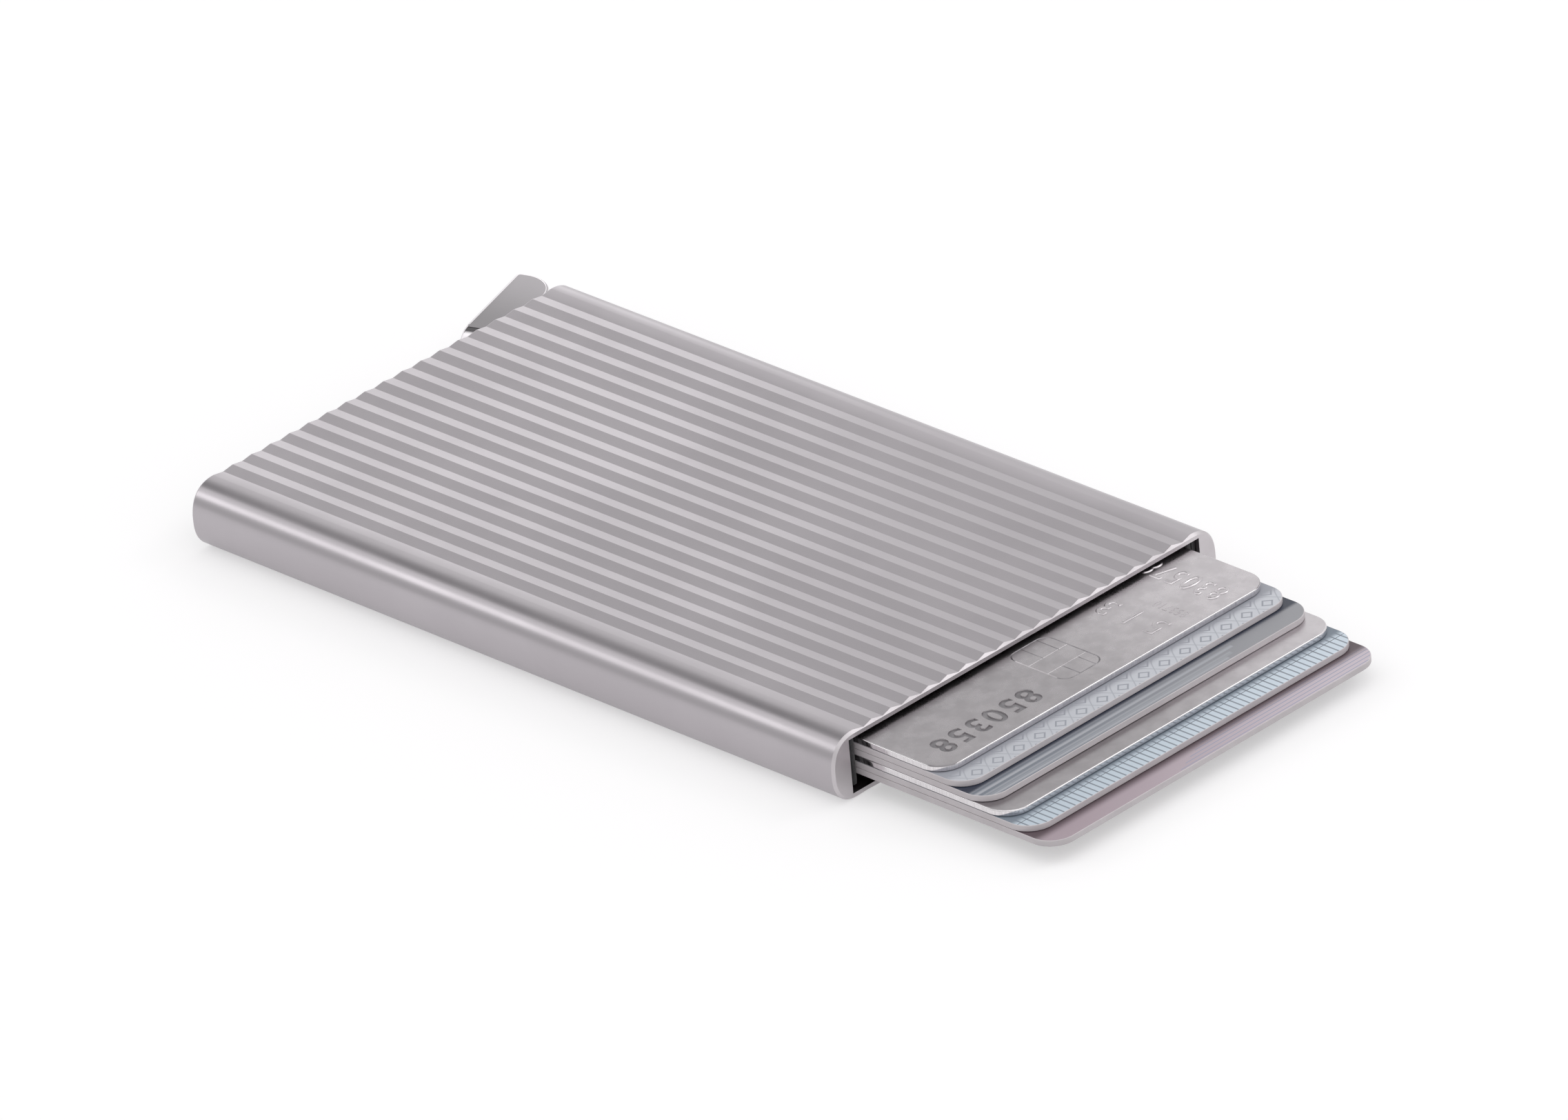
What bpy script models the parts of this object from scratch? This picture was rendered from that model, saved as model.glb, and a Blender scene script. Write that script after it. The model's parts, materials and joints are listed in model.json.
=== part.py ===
"""Pop up card holder: a fluted aluminium sleeve, six cards and a corner lever.

The origin is the centre of the sleeve's underside. +Z is up, the mouth that
the cards come out of faces -Y, and the lever is at the +Y end. The model
stands as in use: the lever is swung out and the cards are fanned. Every
length is in metres.
"""

import math

import bmesh
import bpy

MM = 0.001

# Cards, the usual pocket size
card_length = 85.6 * MM
card_width = 53.98 * MM
card_thickness = 0.76 * MM
card_corner = 3.18 * MM
card_gap = 0.04 * MM
card_count = 6
card_corner_steps = 6
first_card_reach = 12.8 * MM
card_step = 3.32 * MM
closed_recess = 1.2 * MM

# Clearances
running_gap = 0.3 * MM
slip_gap = 0.05 * MM
overrun = 1.0 * MM

# Friction strips that grip the cards' long edges
carrier_thickness = 0.6 * MM
carrier_inset = 0.1 * MM
strip_thickness = 0.71 * MM
strip_inset = 0.4 * MM
liner_setback = 0.6 * MM

# Sleeve: a drawn aluminium tube round the cards, fluted on its broad faces
lift_under_cards = 1.5 * MM
room_over_cards = 0.54 * MM
lever_bay_depth = 15.2 * MM
face_wall = 0.8 * MM
side_wall = 2.8 * MM
side_round_reach = 3.86 * MM
flute_pitch_wanted = 3.07 * MM
flute_depth = 0.24 * MM
ridge_land = 0.6 * MM
mouth_chamfer = 0.32 * MM
mouth_rim_drop = 0.08 * MM
closed_end_round = 0.22 * MM
notch_clearance = 0.55 * MM
notch_lip = 0.05 * MM
side_round_exponent = 2.4
side_round_steps = 16

# Lever: its pivot, and the plan of the chrome finger tab about that pivot
open_angle = math.radians(18.15)
pivot_from_side = 20.7 * MM
pivot_depth = 3.5 * MM
tab_proud = 0.24 * MM
tab_side_proud = 0.7 * MM
tab_inner_edge_near = 2.8 * MM
tab_inner_edge_far = 1.75 * MM
tab_start = 8.0 * MM
tab_tip_radius = 0.7 * MM
tab_heel_radius = 4.0 * MM
tab_roll_radius = 2.9 * MM
tab_end_round = 0.3 * MM
tab_height_gap = 0.35 * MM
corner_steps = 6

# Tongue of the arm inside the tab, and the two pins through both
tongue_length = 10.8 * MM
tongue_height = 2.0 * MM
tongue_inner_edge = 1.5 * MM
tongue_outer_edge = 1.4 * MM
tab_pin_radius = 0.7 * MM
tab_pin_first = 3.2 * MM
tab_pin_spacing = 4.8 * MM
tab_pin_setback = 0.05 * MM
tab_pin_skin = 0.9 * MM

# Stepped arm behind the cards
hub_radius = 3.0 * MM
arm_side_clearance = 3.7 * MM
arm_tip_width = 4.9 * MM
arm_tip_radius = 0.8 * MM
arm_shoulder_reach = 6.0 * MM
arm_throat_reach = 5.5 * MM
arm_neck_reach = 0.5 * MM
arm_neck_depth = 6.0 * MM
tail_inner_edge = 2.5 * MM
push_face_share = 0.8
round_steps = 32

# Plastic base, its cover, the pivot pin and washers
base_recess = 0.4 * MM
base_floor = 0.6 * MM
base_wall = 0.9 * MM
base_lip = 0.15 * MM
base_corner_clearance = 1.0 * MM
cover_thickness = 0.3 * MM
pivot_pin_radius = 1.2 * MM
washer_radius = 2.6 * MM
washer_thickness = 0.3 * MM

# Rubber stop and leaf spring of the lever, from the pivot or the base's edge
stop_offset = 11.5 * MM
stop_width = 4.5 * MM
stop_thickness = 1.0 * MM
stop_height = 4.4 * MM
stop_gap = 0.4 * MM
post_thickness = 1.1 * MM
spring_thickness = 0.3 * MM
spring_height = 4.0 * MM
spring_root_inset = 2.1 * MM
spring_root_length = 4.6 * MM
spring_root_back = 3.0 * MM
spring_knee_reach = 4.6 * MM
spring_knee_drop = 4.7 * MM
spring_nose_reach = 3.9 * MM
spring_nose_drop = 3.4 * MM
spring_end_reach = 3.0 * MM
spring_end_drop = 4.1 * MM

# Sizes and places worked out from the sizes above
card_pitch = card_thickness + card_gap
stack_height = card_count * card_pitch - card_gap
liner_depth = slip_gap + carrier_thickness + slip_gap + strip_thickness + running_gap
sleeve_length = card_length + closed_recess + lever_bay_depth
sleeve_width = card_width + 2 * (side_wall + liner_depth)
sleeve_height = 2 * face_wall + lift_under_cards + stack_height + room_over_cards
half_length = sleeve_length / 2
half_width = sleeve_width / 2
half_height = sleeve_height / 2
inner_half_width = half_width - side_wall
inner_floor = face_wall
inner_roof = sleeve_height - face_wall
mid_height = (inner_floor + inner_roof) / 2
band_half = half_width - side_round_reach
flute_count = max(2, 2 * round(band_half / flute_pitch_wanted))
flute_pitch = 2 * band_half / flute_count
lowest_card = inner_floor + lift_under_cards
pivot_x = inner_half_width - pivot_from_side
pivot_y = half_length - pivot_depth
tab_outer_edge = pivot_depth + tab_proud
tab_end = half_width + tab_side_proud - pivot_x
tab_floor = inner_floor + tab_height_gap
tab_roof = inner_roof - tab_height_gap
tail_end = tab_start - running_gap
notch_depth = pivot_depth + tab_inner_edge_far + notch_clearance
base_half = inner_half_width - slip_gap
base_depth = lever_bay_depth - running_gap
base_low = inner_floor + slip_gap
floor_top = base_low + base_floor
wall_edge = base_half - base_lip
wall_back = base_recess + base_lip
cover_top = inner_roof - slip_gap
cover_low = cover_top - cover_thickness
wall_top = cover_low - slip_gap
arm_low = floor_top + slip_gap + washer_thickness + slip_gap
arm_top = cover_low - slip_gap - washer_thickness - slip_gap
arm_reach = pivot_x + inner_half_width - arm_side_clearance
arm_back_edge = pivot_depth - wall_back - base_wall - running_gap
push_edge = lever_bay_depth - running_gap - pivot_depth
bore_radius = pivot_pin_radius + running_gap
stop_face = pivot_depth + tab_inner_edge_near + stop_gap / 4


def clear_scene():
    """Remove whatever the scene holds."""
    for item in list(bpy.data.objects):
        bpy.data.objects.remove(item, do_unlink=True)


def make_material(name, colour, roughness, metallic):
    """Make a Principled material of one colour."""
    material = bpy.data.materials.new(name)
    material.use_nodes = True
    shader = material.node_tree.nodes["Principled BSDF"]
    shader.inputs["Base Color"].default_value = (*colour, 1.0)
    shader.inputs["Roughness"].default_value = roughness
    shader.inputs["Metallic"].default_value = metallic
    return material


def add_object(name, shape, material=None, parent=None):
    """Turn a bmesh into a named object in the scene."""
    bmesh.ops.recalc_face_normals(shape, faces=shape.faces)
    mesh = bpy.data.meshes.new(name)
    shape.to_mesh(mesh)
    shape.free()
    item = bpy.data.objects.new(name, mesh)
    if material is not None:
        mesh.materials.append(material)
    item.parent = parent
    bpy.context.scene.collection.objects.link(item)
    return item


def shade_round(item, angle=math.radians(35)):
    """Shade a round piece smooth, with its sharp edges kept."""
    item.data.shade_smooth()
    item.data.set_sharp_from_angle(angle=angle)


def prism(outline, low, high, place=None):
    """Raise a flat outline from low to high; place maps (u, v, w) to x, y, z."""
    place = place or (lambda u, v, w: (u, v, w))
    shape = bmesh.new()
    floor = [shape.verts.new(place(u, v, low)) for u, v in outline]
    roof = [shape.verts.new(place(u, v, high)) for u, v in outline]
    shape.faces.new(floor)
    shape.faces.new(roof)
    for index in range(len(outline)):
        after = (index + 1) % len(outline)
        shape.faces.new((floor[index], floor[after], roof[after], roof[index]))
    return shape


def arc(centre, radius, start, end, steps):
    """Give the points of an arc between two angles."""
    points = []
    for step in range(steps + 1):
        angle = start + (end - start) * step / steps
        points.append((centre[0] + radius * math.cos(angle), centre[1] + radius * math.sin(angle)))
    return points


def rounded_box(left, right, low, high, radius, steps):
    """Give a rectangle's outline with round corners."""
    quarter = math.pi / 2
    centres = ((right - radius, high - radius), (left + radius, high - radius),
               (left + radius, low + radius), (right - radius, low + radius))
    outline = []
    for turn, centre in enumerate(centres):
        outline += arc(centre, radius, turn * quarter, (turn + 1) * quarter, steps)
    return outline


def box(left, right, low, high):
    """Give a rectangle's outline."""
    return [(left, low), (right, low), (right, high), (left, high)]


def circle(centre, radius, steps=round_steps):
    """Give a circle's outline."""
    return arc(centre, radius, 0, 2 * math.pi * (steps - 1) / steps, steps - 1)


def combine(item, other, operation):
    """Cut, join or intersect an object with another, which becomes a guide."""
    other.hide_render = True
    other.display_type = "WIRE"
    other.parent = item.parent
    modifier = item.modifiers.new(other.name, "BOOLEAN")
    modifier.operation = operation
    modifier.solver = "EXACT"
    modifier.object = other


def depth_box(left, right, near, far):
    """Give a rectangle by its depths behind the sleeve's lever end."""
    return box(left, right, half_length - far, half_length - near)


def sleeve_section():
    """Give the sleeve's outline and its rim outline, point for point, in x and z."""
    outline = []
    rim = []
    rim_half = half_height - flute_depth - mouth_rim_drop
    rim_reach = side_round_reach - mouth_chamfer
    power = 2 / side_round_exponent

    def side_round(side):
        for step in range(side_round_steps + 1):
            turn = math.pi / 2 - math.pi * step / side_round_steps
            reach = max(0.0, math.cos(turn)) ** power
            rise = math.copysign(abs(math.sin(turn)) ** power, math.sin(turn)) * side
            outline.append((side * (band_half + side_round_reach * reach), half_height * (1 + rise)))
            rim.append((side * (band_half + rim_reach * reach), half_height + rim_half * rise))

    def add_band_point(x, z, side):
        outline.append((x, z))
        rim.append((x, half_height + side * rim_half))

    side_round(1)
    for index in range(flute_count):
        valley = band_half - (index + 0.5) * flute_pitch
        add_band_point(valley, flute_depth, -1)
        crest = valley - flute_pitch / 2
        if index < flute_count - 1:
            add_band_point(crest + ridge_land / 2, 0, -1)
            add_band_point(crest - ridge_land / 2, 0, -1)
    side_round(-1)
    for index in range(flute_count):
        valley = (index + 0.5) * flute_pitch - band_half
        add_band_point(valley, sleeve_height - flute_depth, 1)
        if index < flute_count - 1:
            add_band_point(valley + flute_pitch / 2, sleeve_height, 1)
    return outline, rim


def closed_rim_point(x, z):
    """Draw a section point in by the lever end's small edge round."""
    flank = max(0.0, abs(x) - band_half) / side_round_reach
    rise = (z - half_height) / half_height
    return x - math.copysign(closed_end_round * flank, x), z - closed_end_round * rise


def make_sleeve(material):
    """Draw the tube, chamfer its mouth, open its bore and notch one corner."""
    outline, rim = sleeve_section()
    shape = bmesh.new()
    rings = []
    rings.append([shape.verts.new((x, -half_length, z)) for x, z in rim])
    chamfered = []
    for (x, z), (rim_x, rim_z) in zip(outline, rim):
        setback = math.hypot(x - rim_x, z - rim_z)
        chamfered.append(shape.verts.new((x, -half_length + setback, z)))
    rings.append(chamfered)
    rings.append([shape.verts.new((x, half_length - closed_end_round, z)) for x, z in outline])
    last = []
    for x, z in outline:
        end_x, end_z = closed_rim_point(x, z)
        last.append(shape.verts.new((end_x, half_length, end_z)))
    rings.append(last)
    for first, second in zip(rings, rings[1:]):
        for index in range(len(first)):
            after = (index + 1) % len(first)
            shape.faces.new((first[index], first[after], second[after], second[index]))
    shape.faces.new(rings[0])
    shape.faces.new(rings[-1])
    sleeve = add_object("sleeve", shape, material)

    bore_outline = box(-inner_half_width, inner_half_width, inner_floor, inner_roof)
    bore = prism(bore_outline, -half_length - overrun, half_length + overrun,
                 lambda u, v, w: (u, w, v))
    combine(sleeve, add_object("sleeve_bore_cutter", bore), "DIFFERENCE")

    notch_outline = depth_box(inner_half_width - overrun, half_width + overrun, -overrun, notch_depth)
    notch = prism(notch_outline, inner_floor + notch_lip, inner_roof - notch_lip)
    combine(sleeve, add_object("sleeve_notch_cutter", notch), "DIFFERENCE")
    return sleeve


def make_cards(materials):
    """Stack the fanned cards, card_1 on top; each keeps its own object."""
    outline = rounded_box(-card_width / 2, card_width / 2, 0, card_length, card_corner,
                          card_corner_steps)
    for index in range(card_count):
        level = lowest_card + card_pitch * (card_count - 1 - index)
        reach = first_card_reach + card_step * index
        face = materials[index % len(materials)]
        card = add_object(f"card_{index + 1}", prism(outline, 0, card_thickness), face)
        card.location = (0, -half_length - reach, level)
        shade_round(card)


def tab_outline():
    """Give the plan of the finger tab about the pivot, lever closed."""
    quarter = math.pi / 2
    tip = arc((tab_end - tab_tip_radius, tab_outer_edge - tab_tip_radius), tab_tip_radius,
              quarter, 0, corner_steps)
    heel = arc((tab_end - tab_heel_radius, tab_heel_radius - tab_inner_edge_far), tab_heel_radius,
               0, -quarter, corner_steps)
    return [(tab_start, tab_outer_edge)] + tip + heel + [(tab_start, -tab_inner_edge_near)]


def tab_side_outline():
    """Give the side view of the finger tab: a rolled inner end and a round tip."""
    quarter = math.pi / 2
    roll = tab_roll_radius
    nose = tab_end_round
    outline = arc((tab_start + roll, tab_roof - roll), roll, 2 * quarter, quarter, corner_steps)
    outline += arc((tab_end - nose, tab_roof - nose), nose, quarter, 0, corner_steps)
    outline += arc((tab_end - nose, tab_floor + nose), nose, 0, -quarter, corner_steps)
    outline += arc((tab_start + roll, tab_floor + roll), roll, -quarter, -2 * quarter, corner_steps)
    return outline


def pin_places():
    """Give the plan places of the two pins that hold the tab on the arm."""
    first = tab_start + tab_pin_first
    return [(first, -tab_pin_setback), (first + tab_pin_spacing, -tab_pin_setback)]


def make_tab(material, parent):
    """Cut the chrome finger tab from its plan and its side view."""
    tab = add_object("lever_tab", prism(tab_outline(), tab_floor, tab_roof), material, parent)
    side = prism(tab_side_outline(), -tab_inner_edge_near - overrun, tab_outer_edge + overrun,
                 lambda u, v, w: (u, w, v))
    combine(tab, add_object("tab_side_guide", side), "INTERSECT")
    slot_end = tail_end + tongue_length + 2 * running_gap
    slot = prism(box(tab_start - overrun, slot_end, -tab_inner_edge_near - overrun,
                     tongue_outer_edge + running_gap),
                 mid_height - tongue_height / 2 - running_gap,
                 mid_height + tongue_height / 2 + running_gap)
    combine(tab, add_object("tab_slot_cutter", slot), "DIFFERENCE")
    for number, place in enumerate(pin_places(), 1):
        hole = prism(circle(place, tab_pin_radius + running_gap), tab_floor - overrun,
                     tab_roof - tab_pin_skin)
        combine(tab, add_object(f"tab_hole_cutter_{number}", hole), "DIFFERENCE")
    shade_round(tab)


def arm_outline():
    """Give the plan of the stepped arm about the pivot, lever closed."""
    quarter = math.pi / 2
    hub_end = math.pi - math.asin(min(1.0, arm_back_edge / hub_radius))
    tip_top = arm_tip_width - push_edge - arm_tip_radius
    outline = [(tail_end, -tail_inner_edge), (tail_end, hub_radius)]
    outline += arc((0, 0), hub_radius, quarter, hub_end, corner_steps)
    outline.append((-arm_shoulder_reach, arm_back_edge))
    outline += arc((-arm_reach + arm_tip_radius, tip_top), arm_tip_radius, quarter, 2 * quarter,
                   corner_steps)
    outline.append((-arm_reach, -push_edge))
    outline.append((-arm_throat_reach, -push_edge))
    outline.append((-arm_neck_reach, -arm_neck_depth))
    outline.append((hub_radius / 2, -tail_inner_edge))
    return outline


def arm_steps():
    """Give the reach and the top of each step, longest and lowest first."""
    travels = [first_card_reach + card_step * index + closed_recess for index in range(card_count)]
    steps = []
    for index in reversed(range(card_count)):
        level = lowest_card + card_pitch * (card_count - 1 - index)
        top = min(arm_top, level + card_thickness * push_face_share)
        steps.append((arm_reach * travels[index] / travels[-1], top))
    steps[-1] = (steps[-1][0], arm_top)
    return steps


def stair_outline():
    """Give the side view of the stepped arm, one tread for each card."""
    outline = [(tail_end + overrun, arm_low), (-arm_reach - overrun, arm_low)]
    reach_out = arm_reach + overrun
    for reach, top in arm_steps():
        outline.append((-reach_out, top))
        following = [value for value, height in arm_steps() if value < reach]
        reach_out = max(following) if following else 0
        if following:
            outline.append((-reach_out, top))
    outline.append((tail_end + overrun, arm_top))
    return outline


def make_arm(material, parent):
    """Mould the stepped arm with its hub, tail and tongue."""
    arm = add_object("lever_arm", prism(arm_outline(), arm_low, arm_top), material, parent)
    stairs = prism(stair_outline(), -push_edge - overrun, hub_radius + overrun,
                   lambda u, v, w: (u, w, v))
    combine(arm, add_object("arm_stair_guide", stairs), "INTERSECT")
    tongue = prism(box(tail_end - overrun, tail_end + tongue_length, -tongue_inner_edge,
                       tongue_outer_edge),
                   mid_height - tongue_height / 2, mid_height + tongue_height / 2)
    combine(arm, add_object("arm_tongue_guide", tongue), "UNION")
    bore = prism(circle((0, 0), bore_radius), arm_low - overrun, arm_top + overrun)
    combine(arm, add_object("arm_bore_cutter", bore), "DIFFERENCE")
    for number, place in enumerate(pin_places(), 1):
        hole = prism(circle(place, tab_pin_radius + running_gap), arm_low, arm_top)
        combine(arm, add_object(f"arm_hole_cutter_{number}", hole), "DIFFERENCE")


def make_tab_pins(material, parent):
    """Turn the two short pins that hold the tab on the arm's tongue."""
    for number, place in enumerate(pin_places(), 1):
        pin = prism(circle(place, tab_pin_radius), tab_floor + running_gap,
                    tab_roof - tab_pin_skin - running_gap)
        shade_round(add_object(f"tab_pin_{number}", pin, material, parent))


def make_lever(chrome, plastic, steel):
    """Hang the lever's pieces on an empty at the pivot, swung open."""
    pivot = bpy.data.objects.new("lever_pivot", None)
    bpy.context.scene.collection.objects.link(pivot)
    pivot.location = (pivot_x, pivot_y, 0)
    pivot.rotation_euler = (0, 0, open_angle)
    make_tab(chrome, pivot)
    make_arm(plastic, pivot)
    make_tab_pins(steel, pivot)


def base_outline():
    """Give the plan of the base, with the corner left free for the tab."""
    outer = half_length - base_recess
    inner = half_length - base_depth
    corner_x = pivot_x + tab_start - base_corner_clearance
    corner_y = half_length - pivot_depth - tab_inner_edge_near - stop_gap
    return [(-base_half, inner), (base_half, inner), (base_half, corner_y), (corner_x, corner_y),
            (corner_x, outer), (-base_half, outer)]


def add_wall(base, name, outline):
    """Join one upright wall or post to the base."""
    wall = prism(outline, base_low + base_floor / 2, wall_top)
    combine(base, add_object(f"base_{name}_guide", wall), "UNION")


def make_base(material):
    """Mould the base: floor, end wall, cheeks, stop post and spring posts."""
    base = add_object("base", prism(base_outline(), base_low, floor_top), material)
    front = base_depth - base_lip
    wall_inner = wall_edge - base_wall
    add_wall(base, "end_wall", depth_box(-wall_edge, pivot_x - hub_radius - 2 * running_gap,
                                         wall_back, wall_back + base_wall))
    add_wall(base, "left_cheek", depth_box(-wall_edge, -wall_inner, wall_back + base_lip, front))
    cheek_start = pivot_depth + tab_inner_edge_near + stop_gap + base_lip
    add_wall(base, "right_cheek", depth_box(wall_inner, wall_edge, cheek_start, front))
    stop_x = pivot_x + stop_offset
    stop_back = stop_face + stop_thickness + slip_gap
    add_wall(base, "stop_post", depth_box(stop_x, stop_x + stop_width, stop_back,
                                          stop_back + post_thickness))
    grip = spring_thickness / 2 + running_gap
    root_depth = base_depth - spring_root_back
    post_left = base_half - spring_root_inset - spring_root_length + 2 * running_gap
    post_right = wall_inner - running_gap
    add_wall(base, "spring_post_back", depth_box(post_left, post_right,
                                                 root_depth - grip - post_thickness,
                                                 root_depth - grip))
    add_wall(base, "spring_post_front", depth_box(post_left, post_right, root_depth + grip,
                                                  root_depth + grip + post_thickness))
    hole = prism(circle((pivot_x, pivot_y), bore_radius), base_low - overrun, floor_top + overrun)
    combine(base, add_object("base_hole_cutter", hole), "DIFFERENCE")


def make_cover(material):
    """Stamp the thin steel cover that closes the base."""
    cover = add_object("mechanism_cover", prism(base_outline(), cover_low, cover_top), material)
    hole = prism(circle((pivot_x, pivot_y), bore_radius), cover_low - overrun, cover_top + overrun)
    combine(cover, add_object("cover_hole_cutter", hole), "DIFFERENCE")


def make_pivot(material):
    """Turn the pivot pin and its two washers."""
    centre = (pivot_x, pivot_y)
    pin = prism(circle(centre, pivot_pin_radius), base_low + slip_gap, cover_top - slip_gap)
    shade_round(add_object("pivot_pin", pin, material))
    levels = {"lower": floor_top + slip_gap, "upper": arm_top + slip_gap}
    for side, level in levels.items():
        disc = prism(circle(centre, washer_radius), level, level + washer_thickness)
        washer = add_object(f"pivot_washer_{side}", disc, material)
        hole = prism(circle(centre, bore_radius), level - overrun, level + washer_thickness + overrun)
        combine(washer, add_object(f"washer_{side}_cutter", hole), "DIFFERENCE")
        shade_round(washer)


def make_stop(material):
    """Mould the rubber block that the lever closes against."""
    left = pivot_x + stop_offset
    outline = depth_box(left, left + stop_width, stop_face, stop_face + stop_thickness)
    shape = prism(outline, mid_height - stop_height / 2, mid_height + stop_height / 2)
    add_object("lever_stop", shape, material)


def ribbon(points, thickness):
    """Give the outline of a thin strip that follows a bent line."""
    sides = ([], [])
    for index, point in enumerate(points):
        before = points[max(0, index - 1)]
        after = points[min(len(points) - 1, index + 1)]
        along = (after[0] - before[0], after[1] - before[1])
        size = math.hypot(*along)
        normal = (-along[1] / size, along[0] / size)
        for side, sign in zip(sides, (0.5, -0.5)):
            side.append((point[0] + normal[0] * thickness * sign,
                         point[1] + normal[1] * thickness * sign))
    return sides[0] + sides[1][::-1]


def make_spring(material):
    """Bend the leaf spring that holds the lever shut."""
    root_x = base_half - spring_root_inset
    root_y = half_length - base_depth + spring_root_back
    points = [(root_x, root_y), (root_x - spring_root_length, root_y),
              (pivot_x + spring_knee_reach, pivot_y - spring_knee_drop),
              (pivot_x + spring_nose_reach, pivot_y - spring_nose_drop),
              (pivot_x + spring_end_reach, pivot_y - spring_end_drop)]
    shape = prism(ribbon(points, spring_thickness), mid_height - spring_height / 2,
                  mid_height + spring_height / 2)
    add_object("detent_spring", shape, material)


def make_liners(carrier_material, strip_material):
    """Line both sides of the card bay with a carrier and a friction strip."""
    carrier_out = inner_half_width - slip_gap
    carrier_in = carrier_out - carrier_thickness
    strip_out = carrier_in - slip_gap
    strip_in = strip_out - strip_thickness
    back = half_length - lever_bay_depth
    front = -half_length + liner_setback
    for side, sign in (("left", -1), ("right", 1)):
        carrier = prism(box(sign * carrier_in, sign * carrier_out, front, back),
                        inner_floor + carrier_inset, inner_roof - carrier_inset)
        add_object(f"strip_carrier_{side}", carrier, carrier_material)
        strip = prism(box(sign * strip_in, sign * strip_out, front, back),
                      inner_floor + strip_inset, inner_roof - strip_inset)
        add_object(f"friction_strip_{side}", strip, strip_material)


def main():
    """Build every piece."""
    clear_scene()
    anodised = make_material("anodised_aluminium", (0.40, 0.37, 0.385), 0.38, 0.85)
    chrome = make_material("polished_chrome", (0.62, 0.61, 0.62), 0.08, 1.0)
    steel = make_material("steel", (0.45, 0.45, 0.46), 0.3, 1.0)
    plastic = make_material("black_plastic", (0.02, 0.02, 0.022), 0.45, 0.0)
    felt = make_material("black_felt", (0.015, 0.015, 0.017), 0.95, 0.0)
    rubber = make_material("rubber", (0.03, 0.03, 0.03), 0.8, 0.0)
    card_faces = [
        make_material("card_brushed_metal", (0.42, 0.41, 0.42), 0.3, 0.9),
        make_material("card_pale_blue", (0.42, 0.45, 0.50), 0.4, 0.0),
        make_material("card_slate", (0.13, 0.15, 0.19), 0.4, 0.0),
        make_material("card_satin_metal", (0.38, 0.38, 0.39), 0.35, 0.9),
        make_material("card_sky", (0.36, 0.45, 0.55), 0.4, 0.0),
        make_material("card_mauve", (0.35, 0.27, 0.31), 0.4, 0.0),
    ]
    make_sleeve(anodised)
    make_cards(card_faces)
    make_lever(chrome, plastic, steel)
    make_base(plastic)
    make_cover(steel)
    make_pivot(steel)
    make_stop(rubber)
    make_spring(steel)
    make_liners(plastic, felt)


if __name__ == "__main__":
    main()
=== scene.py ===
"""Pop up card holder: the looks of its pieces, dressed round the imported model.

Every length is in metres, in the part's own frame: +Z is up, the mouth that
the cards come out of faces -Y, and the lever is at the +Y end.
"""

import json
import logging
import math
from contextlib import contextmanager
from dataclasses import dataclass, field
from enum import Enum
from functools import reduce
from typing import Callable, Iterator, Sequence

import bpy
from mathutils import Matrix, Vector


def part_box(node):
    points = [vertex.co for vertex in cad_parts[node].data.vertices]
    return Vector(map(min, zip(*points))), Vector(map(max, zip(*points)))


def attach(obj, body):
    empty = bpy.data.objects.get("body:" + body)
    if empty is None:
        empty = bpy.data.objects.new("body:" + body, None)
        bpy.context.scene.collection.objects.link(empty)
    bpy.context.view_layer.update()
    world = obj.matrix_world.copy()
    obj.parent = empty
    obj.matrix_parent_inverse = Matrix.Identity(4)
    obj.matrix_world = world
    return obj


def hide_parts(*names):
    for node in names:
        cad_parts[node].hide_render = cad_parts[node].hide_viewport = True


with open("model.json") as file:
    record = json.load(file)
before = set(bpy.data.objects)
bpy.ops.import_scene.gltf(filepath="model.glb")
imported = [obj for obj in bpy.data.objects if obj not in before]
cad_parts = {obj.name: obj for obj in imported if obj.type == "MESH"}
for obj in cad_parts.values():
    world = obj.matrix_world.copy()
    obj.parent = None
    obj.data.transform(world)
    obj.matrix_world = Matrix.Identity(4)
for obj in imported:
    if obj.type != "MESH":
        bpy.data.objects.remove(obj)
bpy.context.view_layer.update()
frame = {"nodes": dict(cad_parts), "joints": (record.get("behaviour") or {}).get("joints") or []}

logging.basicConfig(level=logging.INFO, format="%(levelname)s %(message)s")
log = logging.getLogger("card_holder")

MM = 0.001
MERGE = 0.001 * MM  # points nearer to each other than this are merged
EPSILON = 0.01 * MM  # places nearer to each other than this count as one
OVERRUN = 1.0 * MM  # how far a cutter reaches past what it cuts
DEAD_LEVEL, LEVEL, UPRIGHT = 0.99999, 0.98, 0.02  # limits of a face normal's height
ONE_PLANE = math.radians(1)
SHARP = math.radians(40)
BLACK = (0, 0, 0, 1)

Colour = tuple[float, float, float, float]
Point = tuple[float, float, float]
Span = tuple[float, float]
Piece = bpy.types.Object
Material = bpy.types.Material
Node = bpy.types.Node
NodeTree = bpy.types.NodeTree
Socket = bpy.types.NodeSocket
EdgeTest = Callable[[Vector, Vector], bool]


class Slot(Enum):
    """The record's material slots."""

    ANODISED = "anodised_aluminium"
    PLASTIC = "black_plastic"
    STEEL = "steel"
    RUBBER = "rubber"
    FELT = "black_felt"
    CHROME = "chrome"
    CARD_BRUSHED = "card_brushed_metal"
    CARD_PALE_BLUE = "card_pale_blue"
    CARD_SLATE = "card_slate"
    CARD_SATIN = "card_satin_metal"
    CARD_SKY = "card_sky"
    CARD_MAUVE = "card_mauve"


class Join(Enum):
    """How one solid is combined with another."""

    CUT = "DIFFERENCE"
    ADD = "UNION"
    KEEP_COMMON = "INTERSECT"


class Pick(Enum):
    """What is picked of a mesh."""

    POINTS = "VERT"
    EDGES = "EDGE"
    FACES = "FACE"


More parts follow.
